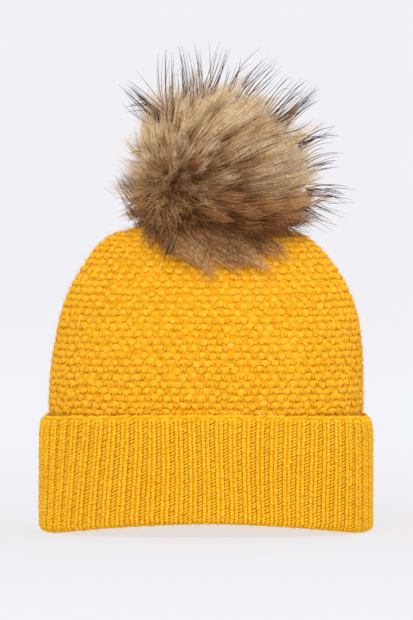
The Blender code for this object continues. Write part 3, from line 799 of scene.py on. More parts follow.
gather = twisted_ring("gather_yarn", (0, 0, 0.2122), 0.0076, 0.0013, 3, 17, rib_wool)
finish_piece(gather, "hat", "mustard_wool", "crown_gather_yarn")
patch = turned("felt_patch", washer_profile(0.0140, 0.0027, 0.2011, 0.2023), (0, 0), felt, wobble=0.03)
finish_piece(patch, "hat", "felt", "inside_patch")
pad = turned("felt_washer", washer_profile(0.0100, 0.0027, 0.2137, 0.2146), (0, 0), felt, wobble=0.03)
finish_piece(pad, "hat", "felt", "snap_washer")
disc = turned("leather_disc", washer_profile(0.0140, 0.0030, 0.2207, 0.2221), (0, 0), leather, wobble=0.008)
finish_piece(disc, "socket", "pelt_leather", "pompom_base_disc")
tie = twisted_ring("tie_yarn", (0.0040, 0, 0.2293), 0.0135, 0.0011, 2, 26, thread)
finish_piece(tie, "pompom", "sewing_thread", "pelt_tie_yarn")

# %% [markdown]
# ## The press stud
# The stud, its post, the socket and the socket's cap are pressed from nickel-plated brass. They are
# hard, and their frame pieces already have the right shape, so only the finish is made: bright metal
# with faint turning marks and a slight unevenness in how rough it is.

# %% Nickel
m = Material("nickel")
marks = m.noise(900, 3, (1, 1, 14))
shade = m.ramp(marks, (0.3, (0.60, 0.58, 0.54)), (0.7, (0.76, 0.74, 0.70)))
rough = m.add("MapRange", Value=m.noise(700, 2), To_Min=0.22, To_Max=0.38)
bump = m.add("Bump", Strength=0.15, Distance=0.0001, Height=marks)
nickel = m.set(Base_Color=shade, Metallic=1.0, Roughness=rough, Normal=bump)
for name in ("snap_post", "snap_stud", "snap_socket", "socket_cap"):
    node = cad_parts[name]
    node.data.materials.clear()
    node.data.materials.append(nickel)
print("nickel on the four pieces of the press stud")

# %% [markdown]
# ## The pelt and its filling
# Inside the fur is a round bag of fur skin, hair side out, drawn together at the bottom over a ball of
# loose filling. The skin puckers towards its mouth where the thread gathers it.


# %% Pelt bag and filling
def ball_arc(radius, mouth, count):
    last = math.pi - math.asin(mouth / radius)
    a = np.linspace(0.02, last, count)
    return np.column_stack([radius * np.sin(a), radius * np.cos(a)])


BAG = np.array((0.0040, 0.0, 0.2540))  # middle of the bag
turn = 2 * np.pi * np.arange(120) / 120


def ring_about_bag(radius, height):
    return np.column_stack([BAG[0] + radius * np.cos(turn), radius * np.sin(turn), np.full(120, height)])


rings = []
for radius, arc in ((0.0260, ball_arc(0.0260, 0.0122, 30)), (0.0247, ball_arc(0.0247, 0.0118, 30)[::-1])):
    for r, h in arc:
        pucker = 1 + 0.05 * np.clip(-h / radius - 0.45, 0, 1) * np.sin(24 * turn)
        rings.append(ring_about_bag(r * pucker, BAG[2] + h))
pelt = grid_skin("pelt_bag", np.array(rings), leather)
finish_piece(pelt, "pompom", "pelt_leather", "pelt_skin")
rings = []
for r, h in ball_arc(0.0240, 0.0020, 40):
    lumps = 1 - 0.012 * (1 + np.sin(7 * turn + 300 * h) * np.cos(5 * turn - 200 * h))
    rings.append(ring_about_bag(r * lumps, max(BAG[2] + h * 0.99, 0.2327)))
filling = grid_skin("loose_filling", np.array(rings), fill, closed=False)
finish_piece(filling, "pompom", "polyester_fill", "stuffing")

# %% [markdown]
# ## How the fur lies
# Every hair grows from the little bag of skin in the middle and ends on the outside of the pompom, so
# the hairs near the top are long and lie over each other like those of a fox's tail. They don't stand
# straight out. They part at one place on the front, and lie away from it. Each hair is a curve with
# three control points: its root on the bag, a point straight out from the root, and its tip.
#
# Hairs also gather into locks. Eight hundred guides are spread over the ball, and every hair lets its
# tip be drawn towards the nearest guide's tip.

# %% Where hairs grow and where they end
BAG_RADIUS = 0.0254  # just inside the skin, so that the roots are in it
HEART = np.array((0.0112, 0.0, 0.2425))  # middle of the ball of fur
ROOT_PARTING = unit(np.array((-0.70, -0.56, -0.43)))  # hairs lie away from where this points
COMBED = np.array((-0.0015, 0.0, -0.0110))  # the weight of the hair pulls its middle down
REACH = 0.0625  # how far the dense fur reaches from its middle


def spread_over_ball(count):
    """Directions spread evenly over a ball: each turns by the golden angle from the one before."""
    i = np.arange(count) + 0.5
    z, turn = 1 - 2 * i / count, i * 2.399963
    r = np.sqrt(1 - z**2)
    return np.column_stack([r * np.cos(turn), r * np.sin(turn), z])


def nearest(directions, guides):
    """For each direction, which guide points most nearly the same way."""
    found = []
    for part in np.array_split(directions, 20):
        found.append(np.argmax(part @ guides.T, axis=1))
    return np.concatenate(found)


def bowed(roots, middles, tips, steps):
    """Curves from roots to tips that are drawn towards their middles."""
    t = np.linspace(0, 1, steps)[None, :, None]
    return (1 - t) ** 2 * roots[:, None] + 2 * t * (1 - t) * middles[:, None] + t**2 * tips[:, None]


GUIDES = 800
guide_way = unit(spread_over_ball(GUIDES) + rng.normal(0, 0.035, (GUIDES, 3)))
guide_long = rng.uniform(0.90, 1.04, GUIDES)
upper_left = np.clip(guide_way @ unit(np.array((-0.66, 0.0, 0.75))), 0, 1)
lower_left = np.clip(guide_way @ unit(np.array((-0.93, 0.0, -0.36))), 0, 1)
right = np.clip(guide_way @ unit(np.array((1.0, 0.0, 0.0))), 0, 1)
guide_long *= 1 + 0.13 * upper_left**9 + 0.13 * lower_left**6 + 0.08 * right**6
guide_tint = np.clip(rng.normal(0.62, 0.20, GUIDES), 0, 1)
guide_bend = rng.normal(0, 0.0045, (GUIDES, 3))
guide_tip = HEART + guide_way * (REACH * guide_long)[:, None] + guide_bend
print("fur guides:", GUIDES)

# %% [markdown]
# ## Keeping hair out of the knitting
# Where the pompom sits on the crown, hairs would run through the hat. So the crown's height is kept as
# a small table over X and Y, and any hair point that is too close is moved out square to the surface,
# which lays the hair over the top and down the front and back, as it really falls.


# %% Crown table
TABLE_X, TABLE_Y, CELL = 0.13, 0.10, 0.002
grid_x, grid_y = np.linspace(-TABLE_X, TABLE_X, 131), np.linspace(-TABLE_Y, TABLE_Y, 101)
level_z = np.linspace(CROWN_FOOT, CROWN_APEX, 300)
level_half = np.interp(level_z, [z for z, _ in CROWN_OUTLINE], [x for _, x in CROWN_OUTLINE])
gx, gy = np.meshgrid(np.abs(grid_x), np.abs(grid_y), indexing="ij")
crown_top = np.full(gx.shape, CROWN_FOOT)
for z, half_x in zip(level_z[:-1], level_half[:-1]):
    p = crown_power(z)
    inside_it = (gx / half_x) ** p + (gy / crown_depth(z)) ** p <= 1
    crown_top[inside_it] = z


def crown_height(x, y):
    i = np.clip((x + TABLE_X) / CELL, 0, len(grid_x) - 1.01)
    j = np.clip((y + TABLE_Y) / CELL, 0, len(grid_y) - 1.01)
    a, b = i.astype(int), j.astype(int)
    u, v = i - a, j - b
    low = crown_top[a, b] * (1 - v) + crown_top[a, b + 1] * v
    return low * (1 - u) + (crown_top[a + 1, b] * (1 - v) + crown_top[a + 1, b + 1] * v) * u


def clear_of_crown(points, margin):
    """Points moved out of the crown until they're that far from it. margin has the points' shape."""
    for _ in range(2):
        level = np.clip(points[..., 2], CROWN_FOOT, CROWN_APEX - 0.0012)
        x, y, z = points[..., 0] - crown_set(level), points[..., 1], points[..., 2]
        p = crown_power(level)
        half_x = np.interp(level, level_z, level_half)
        share = (np.abs(x) / half_x) ** p + (np.abs(y) / crown_depth(level)) ** p
        flat = np.hypot(x, y)
        aside = flat * (1 - 1 / np.maximum(share, 1e-6) ** (1 / p))
        above = z - crown_height(x, y)
        steep = np.hypot(aside, above) + 1e-9
        away = np.where((aside < 0) & (above < 0), -1.0, 1.0) * np.abs(aside * above) / steep
        away = np.where((aside <= 0) & (above > 0), above, away)
        away = np.maximum(away, z - CROWN_APEX)
        push = np.clip(margin - away, 0, 0.03)
        outward = np.stack([x / (flat + 1e-9), y / (flat + 1e-9), 0 * x], -1)
        outward = outward * (np.abs(above) / steep)[..., None]
        outward[..., 2] = np.abs(aside) / steep
        outward = np.where(((aside <= 0) & (above > 0))[..., None], (0.0, 0.0, 1.0), outward)
        points = points + outward * push[..., None]
    return points


def in_front_of_crown(tips, margin):
    """Tips that would end inside the crown, moved along Y to the front or back of it at the same height."""
    level = np.clip(tips[:, 2], CROWN_FOOT, CROWN_APEX - 0.0012)
    p = crown_power(level)
    share = np.clip(1 - (np.abs(tips[:, 0]) / np.interp(level, level_z, level_half)) ** p, 0, 1)
    deep = crown_depth(level) * share ** (1 / p) + margin
    moved = tips.copy()
    side = np.where(tips[:, 1] < 0, -1.0, 1.0)
    short = (tips[:, 2] < CROWN_APEX) & (np.abs(tips[:, 1]) < deep) & (share > 0)
    moved[short, 1] = (side * deep)[short]
    return moved


def over_stud(paths):
    """Which hairs pass close to the press stud, where they would be pinched between pompom and hat."""
    near_axis = np.hypot(paths[..., 0] - 0.004, paths[..., 1]) < 0.017
    return (near_axis & (paths[..., 2] < 0.233)).any(1)


print("crown table:", crown_top.shape, "top", round(float(crown_top.max()), 4))

# %% [markdown]
# ## Colours of the fur
# The fur is a brown fox's: grey-brown underwool that is dark near the skin, tan where the light
# reaches, and guard hairs with black tips. It isn't even. Some patches are golden, some pinkish. The
# nearly black patches are painted shade, where the hair parts and where the fur lies on the crown. A
# short list says where those patches are, and each hair takes its lightness from the patches near its tip.

# %% Patches of colour
# x, z, half width, half height, how much lighter (or darker)
# The darker entries are painted shade, where the hair parts and where the fur meets the crown.
TONE_AND_SHADE_PATCHES = (
    (-0.020, 0.235, 0.014, 0.007, -0.55), (-0.012, 0.262, 0.009, 0.022, -0.25),
    (0.022, 0.246, 0.015, 0.009, -0.35), (0.038, 0.264, 0.014, 0.010, -0.35),
    (0.054, 0.278, 0.010, 0.009, -0.25), (0.020, 0.231, 0.007, 0.007, -0.35),
    (0.028, 0.224, 0.008, 0.006, -0.35), (0.012, 0.210, 0.034, 0.016, -0.48),
    (0.056, 0.265, 0.020, 0.022, 0.45), (-0.037, 0.203, 0.011, 0.012, -0.70),
    (0.045, 0.203, 0.018, 0.009, -0.60), (0.062, 0.212, 0.012, 0.008, -0.50),
    (-0.010, 0.294, 0.026, 0.013, 0.18), (0.022, 0.292, 0.018, 0.012, 0.15),
    (0.050, 0.243, 0.024, 0.012, 0.36), (-0.043, 0.258, 0.012, 0.024, 0.42),
    (-0.043, 0.214, 0.011, 0.010, 0.24), (-0.033, 0.214, 0.006, 0.010, 0.30),
    (-0.008, 0.183, 0.009, 0.010, 0.20), (0.012, 0.188, 0.007, 0.008, 0.16),
    (0.034, 0.192, 0.008, 0.008, 0.05), (-0.026, 0.186, 0.010, 0.010, -0.25),
    (0.066, 0.218, 0.016, 0.012, 0.10), (0.005, 0.275, 0.020, 0.014, 0.16),
    (-0.030, 0.280, 0.012, 0.014, 0.14),
)


def patch_tone_and_shade(points):
    x, z = points[..., 0], points[..., 2]
    total = np.zeros(x.shape)
    for px, pz, wide, high, lighter in TONE_AND_SHADE_PATCHES:
        total += lighter * np.exp(-(((x - px) / wide) ** 2 + ((z - pz) / high) ** 2) * 0.7)
    return total


def fur(name, dark_stops, light_stops, rough=0.55):
    m = Material(name)
    along = m.number("along")
    colour = m.mix(m.number("tone_and_shade"), m.ramp(along, *dark_stops), m.ramp(along, *light_stops))
    streak = m.ramp(m.noise(420, 2), (0.32, (0.56, 0.51, 0.47)), (0.66, (1.15, 1.12, 1.10)))
    colour = m.mix(1.0, colour, streak, "MULTIPLY")
    return m.set(
        Base_Color=colour, Roughness=rough, Specular_IOR_Level=0.22,
        Sheen_Weight=0.05, Sheen_Roughness=0.4, Sheen_Tint=(1.0, 0.82, 0.62, 1.0),
    )


underwool = fur(
    "underwool",
    (
        (0.0, (0.045, 0.016, 0.004)), (0.50, (0.20, 0.069, 0.015)),
        (0.85, (0.43, 0.173, 0.048)), (1.0, (0.58, 0.265, 0.088)),
    ),
    (
        (0.0, (0.26, 0.115, 0.037)), (0.40, (0.92, 0.485, 0.175)),
        (0.80, (1.0, 0.72, 0.355)), (1.0, (1.0, 0.85, 0.59)),
    ),
)
# A darker copy of the underwool's colours: painted shade for the hairs that hang under the ball over the
# crown.
shaded_lower_wool = fur(
    "shaded_lower_wool",
    (
        (0.0, (0.05, 0.016, 0.003)), (0.50, (0.15, 0.050, 0.010)),
        (0.85, (0.32, 0.120, 0.026)), (1.0, (0.48, 0.200, 0.050)),
    ),
    (
        (0.0, (0.25, 0.11, 0.03)), (0.40, (0.62, 0.290, 0.090)),
        (0.80, (0.85, 0.480, 0.190)), (1.0, (0.95, 0.640, 0.320)),
    ),
)
guard = fur(
    "guard_hairs",
    (
        (0.0, (0.06, 0.026, 0.010)), (0.45, (0.070, 0.032, 0.014)),
        (0.70, (0.018, 0.010, 0.007)), (1.0, (0.009, 0.006, 0.005)),
    ),
    (
        (0.0, (0.38, 0.20, 0.08)), (0.38, (0.80, 0.47, 0.21)),
        (0.60, (0.14, 0.070, 0.030)), (1.0, (0.012, 0.008, 0.007)),
    ),
    0.42,
)
print("fur materials:", underwool.name, shaded_lower_wool.name, guard.name)

# %% [markdown]
# ## Underwool
# Twenty-four thousand hairs are laid out for the dense body of the pompom. Those that would be pinched
# at the press stud are left out. Each is a thin tapered tube with three sides. They are kept in three
# layers by how far along the hair they are, so that no single mesh gets too heavy. Hairs that reach
# down over the crown are kept apart from the rest, because they rest on the hat and have to bend
# between it and the pompom when the pompom nods.


# %% Underwool hairs
MOST_TRIANGLES = 190000  # in one piece


def hair_layers(name, paths, width, tone_and_shade, spans, material, sides=3):
    """Cuts hairs into layers by step number and makes each a mesh."""
    steps = paths.shape[1]
    along = np.broadcast_to(np.linspace(0, 1, steps), paths.shape[:2])
    out = unit(paths - HEART)
    made = []
    for layer, first, last in spans:
        cut = slice(first, last + 1)
        triangles = len(paths) * ((last - first) * sides * 2 + 2 * (sides - 2))
        shares = np.array_split(np.arange(len(paths)), math.ceil(triangles / MOST_TRIANGLES))
        for number, some in enumerate(shares, 1):
            values = {"tone_and_shade": np.broadcast_to(tone_and_shade, paths.shape[:2])[some, cut], "along": along[some, cut]}
            w = width[some, cut]
            title = f"{name}_{layer}_{number}"
            made.append(tubes(title, paths[some, cut], w, w, out[some, cut], sides, material, values))
    return made


HAIRS, STEPS = 24000, 7
way = unit(spread_over_ball(HAIRS) + rng.normal(0, 0.012, (HAIRS, 3)))
lock_of = nearest(way, guide_way)
roots = BAG + BAG_RADIUS * unit(way + 0.85 * ROOT_PARTING + rng.normal(0, 0.03, (HAIRS, 3)))
own_reach = REACH * guide_long[lock_of] * rng.uniform(0.84, 1.04, HAIRS)
own_tip = HEART + way * own_reach[:, None] + guide_bend[lock_of]
gather = rng.uniform(0.15, 0.65, (HAIRS, 1)) + 0.25 * np.clip((0.225 - own_tip[:, 2:]) / 0.03, 0, 1)
tips = own_tip * (1 - gather) + guide_tip[lock_of] * gather + rng.normal(0, 0.0012, (HAIRS, 3))
tips = in_front_of_crown(tips, rng.uniform(0.004, 0.012, HAIRS))
length = np.linalg.norm(tips - roots, axis=1, keepdims=True)
low = np.clip((0.262 - tips[:, 2:]) / 0.035, 0, 1)
middles = roots + unit(roots - BAG) * length * 0.50 + COMBED
middles = middles + rng.normal(0, 1, (HAIRS, 3)) * (0.0018 + 0.0030 * low)
hair = bowed(roots, middles, tips, STEPS)
t = np.linspace(0, 1, STEPS)[None, :]
swing = rng.normal(0, 1, (HAIRS, 1, 3)) * (0.0007 + 0.0016 * low[..., None])
angle = t * rng.uniform(5, 11, (HAIRS, 1)) + rng.uniform(0, 6, (HAIRS, 1))
wave = swing * np.sin(angle)[..., None]
hair = hair + wave * t[..., None]
margin = rng.uniform(0.0024, 0.0085, (HAIRS, 1)) * (0.6 + 0.4 * t)
hair = clear_of_crown(hair, margin)
tone_and_shade = np.clip((guide_tint[lock_of] + rng.normal(0, 0.10, HAIRS))[:, None] + patch_tone_and_shade(hair), 0, 1)
hangs = hair[..., 2].min(1) < 0.226
hanging = hangs & ~over_stud(hair[:, 2:])
width = 0.00012 * (1 - 0.70 * t**2) * rng.uniform(0.85, 1.2, (HAIRS, 1)) * (1 + 1.0 * hangs[:, None])
print("hairs that hang over the crown:", int(hangs.sum()))

# %% [markdown]
# ## Which body each hair moves with
# Hairs of the ball move with the pompom. Hairs that lie over the crown hang between the mouth of the
# pelt and the socket of the press stud. They are kept as pieces of their own and are tied to no body.

# %% Body of the pompom
spans = (("roots", 0, 2), ("middles", 2, 4), ("tips", 4, 6))
for piece in hair_layers("fur", hair[~hangs], width[~hangs], tone_and_shade[~hangs], spans, underwool):
    finish_piece(piece, "pompom", "fur", "fur_underwool")
skirt_nodes = sorted(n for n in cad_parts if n.startswith("fur_skirt_lock"))
spans = (("inner", 2, 4), ("outer", 4, 6))
over = hair[hanging], width[hanging], tone_and_shade[hanging]
# The hanging hairs take the darker copy of the fur colours: painted shade under the ball.
for piece in hair_layers("fur_over_crown", *over, spans, shaded_lower_wool):
    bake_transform(piece)
    finish_piece(piece, None, "fur", *skirt_nodes)

# %% [markdown]
# ## The dark heart
# Deep in real fur it is dark, because there are far more hairs there than can be modelled. A lumpy
# brown core, like the shadow between the hairs, fills that space. It is open below for the press stud.

# %% Core of the fur
turn = 2 * np.pi * np.arange(90) / 90
angles = np.linspace(0.02, 2.42, 34)
rings = []
for radius, list_ in ((0.0440, angles), (0.0285, angles[::-1])):
    for a in list_:
        lumps = 1 + 0.05 * np.sin(6 * turn + 5 * a) * np.sin(4 * a + 3 * turn) * (radius > 0.03)
        share = 0.75 if radius > 0.03 else 0.1
        middle = BAG * (1 - share) + HEART * share
        r, h = radius * np.sin(a) * lumps, radius * np.cos(a) * lumps
        ring = np.column_stack([middle[0] + r * np.cos(turn), middle[1] + r * np.sin(turn), middle[2] + h])
        rings.append(ring)
core_rings = np.array(rings)
core_rings = clear_of_crown(core_rings, np.full(core_rings.shape[:2], 0.0060))
core_values = {"tone_and_shade": np.full(core_rings.shape[:2], 0.10), "along": np.full(core_rings.shape[:2], 0.35)}
core = grid_skin("fur_core", core_rings, underwool, {k: v.ravel() for k, v in core_values.items()})
finish_piece(core, "pompom", "fur", "fur_underwool")

# %% [markdown]
# ## Guard hairs
# Long coarse guard hairs stand out past the underwool in loose locks with black tips. They give the
# pompom its outline, so each lock is placed one by one: where its tip is and how many hairs it has.
# The hairs of a lock start spread over the fur beneath it and come together at the tip.

# %% Guard locks
# tip x, y, z, where it starts x, y, z, hairs, how far it bends down in the middle
LOCKS = (
    (-0.0248, -0.004, 0.3290, -0.0225, -0.014, 0.2780, 15, 0.0),
    (-0.0160, 0.002, 0.3335, -0.0160, -0.014, 0.2780, 15, 0.0),
    (-0.0205, 0.004, 0.3180, -0.0195, 0.000, 0.2800, 9, 0.0),
    (-0.0058, -0.006, 0.3310, -0.0020, -0.010, 0.2930, 10, 0.0),
    (0.0112, -0.004, 0.3310, -0.0020, -0.012, 0.2930, 10, 0.001),
    (0.0186, 0.006, 0.3240, 0.0110, 0.000, 0.2950, 5, 0.0),
    (0.0484, -0.004, 0.3245, 0.0220, -0.014, 0.2930, 12, 0.001),
    (0.0525, 0.008, 0.3140, 0.0310, 0.000, 0.2930, 8, 0.0),
    (0.0330, 0.012, 0.3170, 0.0220, 0.000, 0.2980, 4, 0.0),
    (0.0752, -0.006, 0.3050, 0.0460, -0.016, 0.2780, 17, -0.002),
    (0.0770, 0.006, 0.2985, 0.0510, -0.004, 0.2750, 12, -0.002),
    (0.0680, -0.010, 0.3095, 0.0430, -0.014, 0.2830, 8, -0.001),
    (0.0866, 0.006, 0.2755, 0.0620, -0.004, 0.2640, 9, -0.002),
    (0.0915, -0.006, 0.2690, 0.0640, -0.012, 0.2590, 9, -0.002),
    (0.0940, -0.004, 0.2545, 0.0680, -0.010, 0.2470, 12, -0.001),
    (0.1020, -0.004, 0.2260, 0.0680, -0.012, 0.2290, 12, -0.002),
    (0.0950, 0.006, 0.2310, 0.0680, 0.000, 0.2320, 7, -0.001),
    (0.0957, -0.010, 0.2130, 0.0670, -0.014, 0.2230, 9, -0.002),
    (0.0843, -0.014, 0.2070, 0.0590, -0.020, 0.2180, 9, -0.002),
    (0.0735, -0.022, 0.2005, 0.0510, -0.030, 0.2140, 13, -0.002),
    (-0.0575, -0.004, 0.3060, -0.0300, -0.012, 0.2800, 17, -0.002),
    (-0.0560, 0.008, 0.2995, -0.0320, 0.000, 0.2780, 9, -0.001),
    (-0.0575, -0.006, 0.2840, -0.0400, -0.008, 0.2860, 4, 0.0),
    (-0.0565, -0.008, 0.2570, -0.0440, -0.010, 0.2560, 4, 0.0),
    (-0.0600, -0.014, 0.2450, -0.0400, -0.024, 0.2170, 22, 0.001),
    (-0.0590, -0.020, 0.2290, -0.0390, -0.030, 0.2130, 14, 0.001),
    (-0.0440, -0.062, 0.1960, -0.0240, -0.050, 0.2150, 12, 0.001),
    (-0.0290, -0.068, 0.1830, -0.0160, -0.052, 0.2050, 12, 0.001),
    (0.0240, -0.068, 0.1850, 0.0190, -0.052, 0.2060, 8, 0.001),
    (0.0420, -0.062, 0.1920, 0.0300, -0.048, 0.2110, 10, 0.001),
    (0.0580, -0.050, 0.1960, 0.0390, -0.040, 0.2140, 10, 0.001),
    (-0.0060, -0.074, 0.1810, 0.0010, -0.054, 0.2040, 6, 0.0),
    (-0.010, 0.050, 0.3060, 0.0000, 0.022, 0.2720, 14, 0.0),
    (0.040, 0.058, 0.2960, 0.0240, 0.026, 0.2680, 14, 0.0),
    (-0.040, 0.060, 0.2660, -0.0140, 0.028, 0.2540, 14, 0.0),
    (0.015, 0.082, 0.2580, 0.0130, 0.036, 0.2500, 14, 0.0),
    (0.062, 0.060, 0.2580, 0.0350, 0.028, 0.2500, 14, 0.0),
    (0.030, 0.082, 0.2160, 0.0200, 0.038, 0.2300, 14, 0.0),
    (-0.030, 0.076, 0.2210, -0.0090, 0.036, 0.2320, 14, 0.0),
    (0.078, 0.040, 0.2210, 0.0440, 0.020, 0.2320, 12, 0.0),
    (0.000, 0.078, 0.1860, 0.0060, 0.048, 0.2150, 14, 0.0),
)
G_STEPS = 9
t = np.linspace(0, 1, G_STEPS)[None, :]
all_paths, all_width, all_tint = [], [], []
for x, y, z, foot_x, foot_y, foot_z, hairs, bend in LOCKS:
    tip = np.array((x, y, z))
    foot = np.array((foot_x, foot_y, foot_z))
    toward, reach = unit(tip - foot), np.linalg.norm(tip - foot)
    scatter = rng.normal(0, 0.0030, (hairs, 3))
    scatter -= (scatter @ toward)[:, None] * toward
    first = foot + scatter
    curl = (rng.normal(0, 0.095, 3) + rng.normal(0, 0.04, (hairs, 3))) * reach
    end = tip + scatter * rng.uniform(0.5, 1.5, (hairs, 1)) + rng.normal(0, 0.0016, (hairs, 3))
    end = end - toward * np.minimum(rng.gamma(1.3, 0.0070, (hairs, 1)), 0.35 * reach)
    middle = (first + end) / 2 + scatter * 0.2 + curl - np.array((0, 0, bend))
    all_paths.append(bowed(first, middle, end, G_STEPS))
    all_width.append(0.00036 * (1 - 0.86 * t**1.8) * rng.uniform(0.55, 1.25, (hairs, 1)))
    all_tint.append(np.clip(rng.normal(0.22, 0.2, hairs), 0, 1))
guards, g_width, g_tone_and_shade = np.concatenate(all_paths), np.concatenate(all_width), np.concatenate(all_tint)
print("locks:", len(LOCKS), "with", len(guards), "hairs")

# %% [markdown]
# ## Loose guard hairs
# Between the locks single guard hairs stand all over the ball. They follow the same guides as the
# underwool and end at different lengths, which makes the surface soft and not like a brush.

# %% Loose guard hairs
LOOSE = 4200
way = unit(spread_over_ball(LOOSE) + rng.normal(0, 0.05, (LOOSE, 3)))
way = way[(way[:, 2] > -0.30) | (np.arange(LOOSE) % 3 == 0)]
LOOSE = len(way)
near = nearest(way, guide_way)
roots = BAG + BAG_RADIUS * unit(way + 0.85 * ROOT_PARTING)
own_reach = REACH * guide_long[near] * rng.uniform(0.78, 1.00, LOOSE)
ends = HEART + way * own_reach[:, None] + guide_bend[near] * 1.2
ends = ends * 0.75 + guide_tip[near] * 0.25 + rng.normal(0, 0.0014, (LOOSE, 3))
ends = in_front_of_crown(ends, rng.uniform(0.006, 0.016, LOOSE))
length = np.linalg.norm(ends - roots, axis=1, keepdims=True)
loose = bowed(roots, roots + unit(roots - BAG) * length * 0.5 + COMBED, ends, G_STEPS)
guards = np.concatenate([guards, loose])
g_width = np.concatenate([g_width, 0.00018 * (1 - 0.80 * t**1.8) * rng.uniform(0.6, 1.3, (LOOSE, 1))])
g_tone_and_shade = np.concatenate([g_tone_and_shade, np.clip(rng.normal(0.42, 0.28, LOOSE) + patch_tone_and_shade(ends), 0, 1)])
g_margin = rng.uniform(0.0030, 0.0100, (len(guards), 1)) * (0.6 + 0.4 * t)
guards = clear_of_crown(guards, g_margin)
hangs = guards[..., 2].min(1) < 0.226
guard_nodes = sorted(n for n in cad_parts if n.startswith("guard_hair_lock"))
spans = (("shafts", 0, 5), ("tips", 5, 8))
for piece in hair_layers("guard", guards[~hangs], g_width[~hangs], g_tone_and_shade[~hangs, None], spans, guard):
    finish_piece(piece, "pompom", "guard_hair", *guard_nodes)
hangs &= ~over_stud(guards[:, 3:])
spans = (("shafts", 3, 5), ("tips", 5, 8))
over = guards[hangs], g_width[hangs], g_tone_and_shade[hangs, None]
for piece in hair_layers("guard_over_crown", *over, spans, guard):
    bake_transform(piece)
    finish_piece(piece, None, "fur", *skirt_nodes)
print("guard hairs:", len(guards))

# %% [markdown]
# ## Fuzz
# Brushed wool has short fibres that stand out of the yarn everywhere. They soften the outline and put
# a pale haze over the stitches. A few thousand on each piece are enough to show it.


# %% Wool fuzz
def fuzz(name, cloth, count, base, body, node, reach):
    u = rng.random((count, 1))
    s = rng.random((count, 1)) * (reach[1] - reach[0]) + reach[0]
    t = np.linspace(0, 1, 4)[None, :]
    long_ = rng.uniform(0.0015, 0.0045, (count, 1))
    turn = rng.uniform(0, 2 * np.pi, (count, 1))
    curl = rng.normal(0, 0.8, (count, 1))
    du = np.cos(turn + curl * t) * long_ * t * cloth.turn_per_metre(s)
    ds = np.sin(turn + curl * t) * long_ * t
    h = base + long_ * rng.uniform(0.1, 0.75, (count, 1)) * np.sin(t * 2.2)
    at_s = np.clip(s + ds, 0.0001, cloth.climb[-1] - 0.0002)
    paths = cloth.at(u + du, at_s, h)
    paths[..., 2] = np.maximum(paths[..., 2], 0.0003)
    width = 0.000055 * (1 - 0.5 * t) + 0 * s
    tone_and_shade = np.clip(rng.normal(0.85, 0.15, (count, 1)), 0, 1)
    made = tubes(name, paths, width, width, cloth.out(u + du, at_s), 3, fuzz_wool, {"tone_and_shade": tone_and_shade})
    return finish_piece(made, body, "mustard_wool", node)


# Paler yellow than the yarn: partly the yarn's pale fibres, partly painted highlight for the light that loose
# fibres catch.
fuzz_wool = wool("fuzz_wool", (0.95, 0.50, 0.05), (1.0, 0.62, 0.12), (1.0, 0.74, 0.28), fleck=0.2, sheen=0.05)
fuzz("crown_fuzz", crown, 7000, -0.0004, "hat", "crown_shell", (0.001, crown.climb[-1] - 0.012))
fuzz("cuff_fuzz", cuff, 4500, -0.0006, "cuff", "turned_up_cuff", (0.004, cuff.climb[-1] - 0.001))

# %% [markdown]
# ## A place to stand
# The hat stands on its hem on a pale sweep: a floor that curves up into a wall far behind, so that
# there's no line behind the hat and the camera can go all the way round it. The paper glows a little,
# which keeps the shadow on it pale. Its colour changes slowly from near to far, to even out the light.

# %% Sweep
NEAR_EDGE, CURVE_FROM, CURVE_DEEP, CURVE_HIGH, HALF_WIDE = -6.6, 11.0, 4.5, 3.4, 14.0
bend = np.linspace(0, np.pi / 2, 60)[:, None]
curve = np.hstack([CURVE_FROM + CURVE_DEEP * np.sin(bend), CURVE_HIGH * (1 - np.cos(bend))])
yz = np.concatenate([[(NEAR_EDGE, 0.0), (0.0, 0.0)], curve])
points = np.array([(x, y, z) for y, z in yz for x in (-HALF_WIDE, HALF_WIDE)])
i = np.arange(len(yz) - 1) * 2
sweep_mesh = bpy.data.meshes.new("sweep")
sweep_mesh.from_pydata(points.tolist(), [], np.stack([i, i + 1, i + 3, i + 2], -1).tolist())
for face in sweep_mesh.polygons:
    face.use_smooth = True
sweep = bpy.data.objects.new("sweep", sweep_mesh)
bpy.context.scene.collection.objects.link(sweep)
m = Material("paper")
depth = m.add("SeparateXYZ", Vector=m.add("TexCoord").outputs["Object"]).outputs["Y"]
near_to_far = m.ramp(
    m.add("MapRange", Value=depth, From_Min=-0.6, From_Max=2.4),
    (0.0, (0.077, 0.1120, 0.153)), (0.167, (0.0700, 0.104, 0.143)),
    (0.30, (0.0800, 0.1170, 0.162)), (0.433, (0.0915, 0.134, 0.187)),
    (0.587, (0.113, 0.164, 0.225)), (0.767, (0.140, 0.200, 0.271)), (1.0, (0.155, 0.222, 0.297)),
)
grain = m.ramp(m.noise(3, 2), (0.35, (0.99, 0.99, 0.99)), (0.65, (1.0, 1.0, 1.0)))
shade = m.mix(1.0, near_to_far, grain, "MULTIPLY")
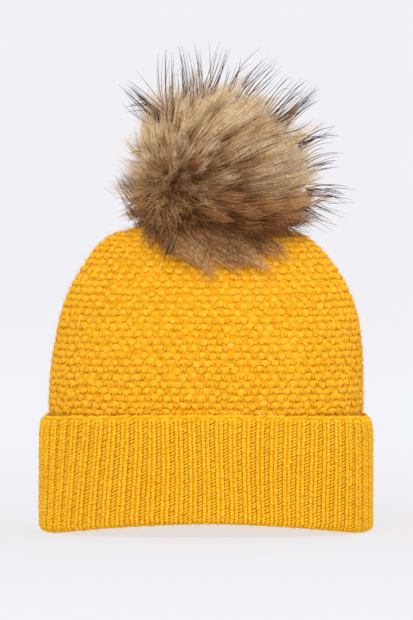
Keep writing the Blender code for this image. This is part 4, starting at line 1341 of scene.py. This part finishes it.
paper = m.set(
    Base_Color=shade, Roughness=1.0, Specular_IOR_Level=0.0,
    Emission_Color=(0.772, 0.712, 0.686, 1.0), Emission_Strength=1.0,
)
sweep_mesh.materials.append(paper)
print("sweep:", len(sweep_mesh.polygons), "faces")


# %% [markdown]
# ## Light
# All three lights are soft discs. A large one in front and above fills every stitch, a weaker one on
# the right evens out the two sides, and one from behind throws the shadow forward. A weak even light
# from all round, the world's colour, fills the rest.

# %% Lights
def soft_light(name, place, target, size, watts, colour=(1.0, 1.0, 1.0)):
    data = bpy.data.lights.new(name, "AREA")
    data.shape, data.size, data.energy, data.color = "DISK", size, watts, colour
    light = bpy.data.objects.new(name, data)
    light.location = place
    aim(light, target)
    bpy.context.scene.collection.objects.link(light)


def aim(obj, target):
    from mathutils import Vector

    way = Vector(target) - Vector(obj.location)
    obj.rotation_euler = way.to_track_quat("-Z", "Y").to_euler()


soft_light("front_top", (-0.25, -1.6, 1.5), (0, 0, 0.15), 1.4, 29)
soft_light("right_fill", (1.6, -0.7, 0.8), (0, 0, 0.15), 1.0, 6)
soft_light("behind_top", (0.2, 0.9, 1.7), (0, -0.1, 0.1), 0.7, 9)
world = bpy.data.worlds.new("studio")
world.use_nodes = True
world.node_tree.nodes["Background"].inputs["Color"].default_value = (0.94, 0.94, 1.0, 1.0)
world.node_tree.nodes["Background"].inputs["Strength"].default_value = 0.75
bpy.context.scene.world = world

# %% [markdown]
# ## The camera
# A long lens from six metres away keeps the two ends of the hat the same size, as in a catalogue. It
# looks down by two degrees, so the arch of the hem still shows.

# %% Camera
DISTANCE, RISE = 6.0, math.radians(2.0)
target = (0.0003, 0.0, 0.1502)
lens = bpy.data.cameras.new("camera")
lens.sensor_width = 36.0
lens.lens = 36.0 * DISTANCE / 0.4216
lens.clip_end = 50.0
camera = bpy.data.objects.new("camera", lens)
camera.location = (target[0], -DISTANCE * math.cos(RISE), target[2] + DISTANCE * math.sin(RISE))
bpy.context.scene.collection.objects.link(camera)
aim(camera, target)
bpy.context.scene.camera = camera
bpy.context.scene.view_settings.view_transform = "Standard"
print("camera:", DISTANCE, "m away,", round(lens.lens), "mm lens")
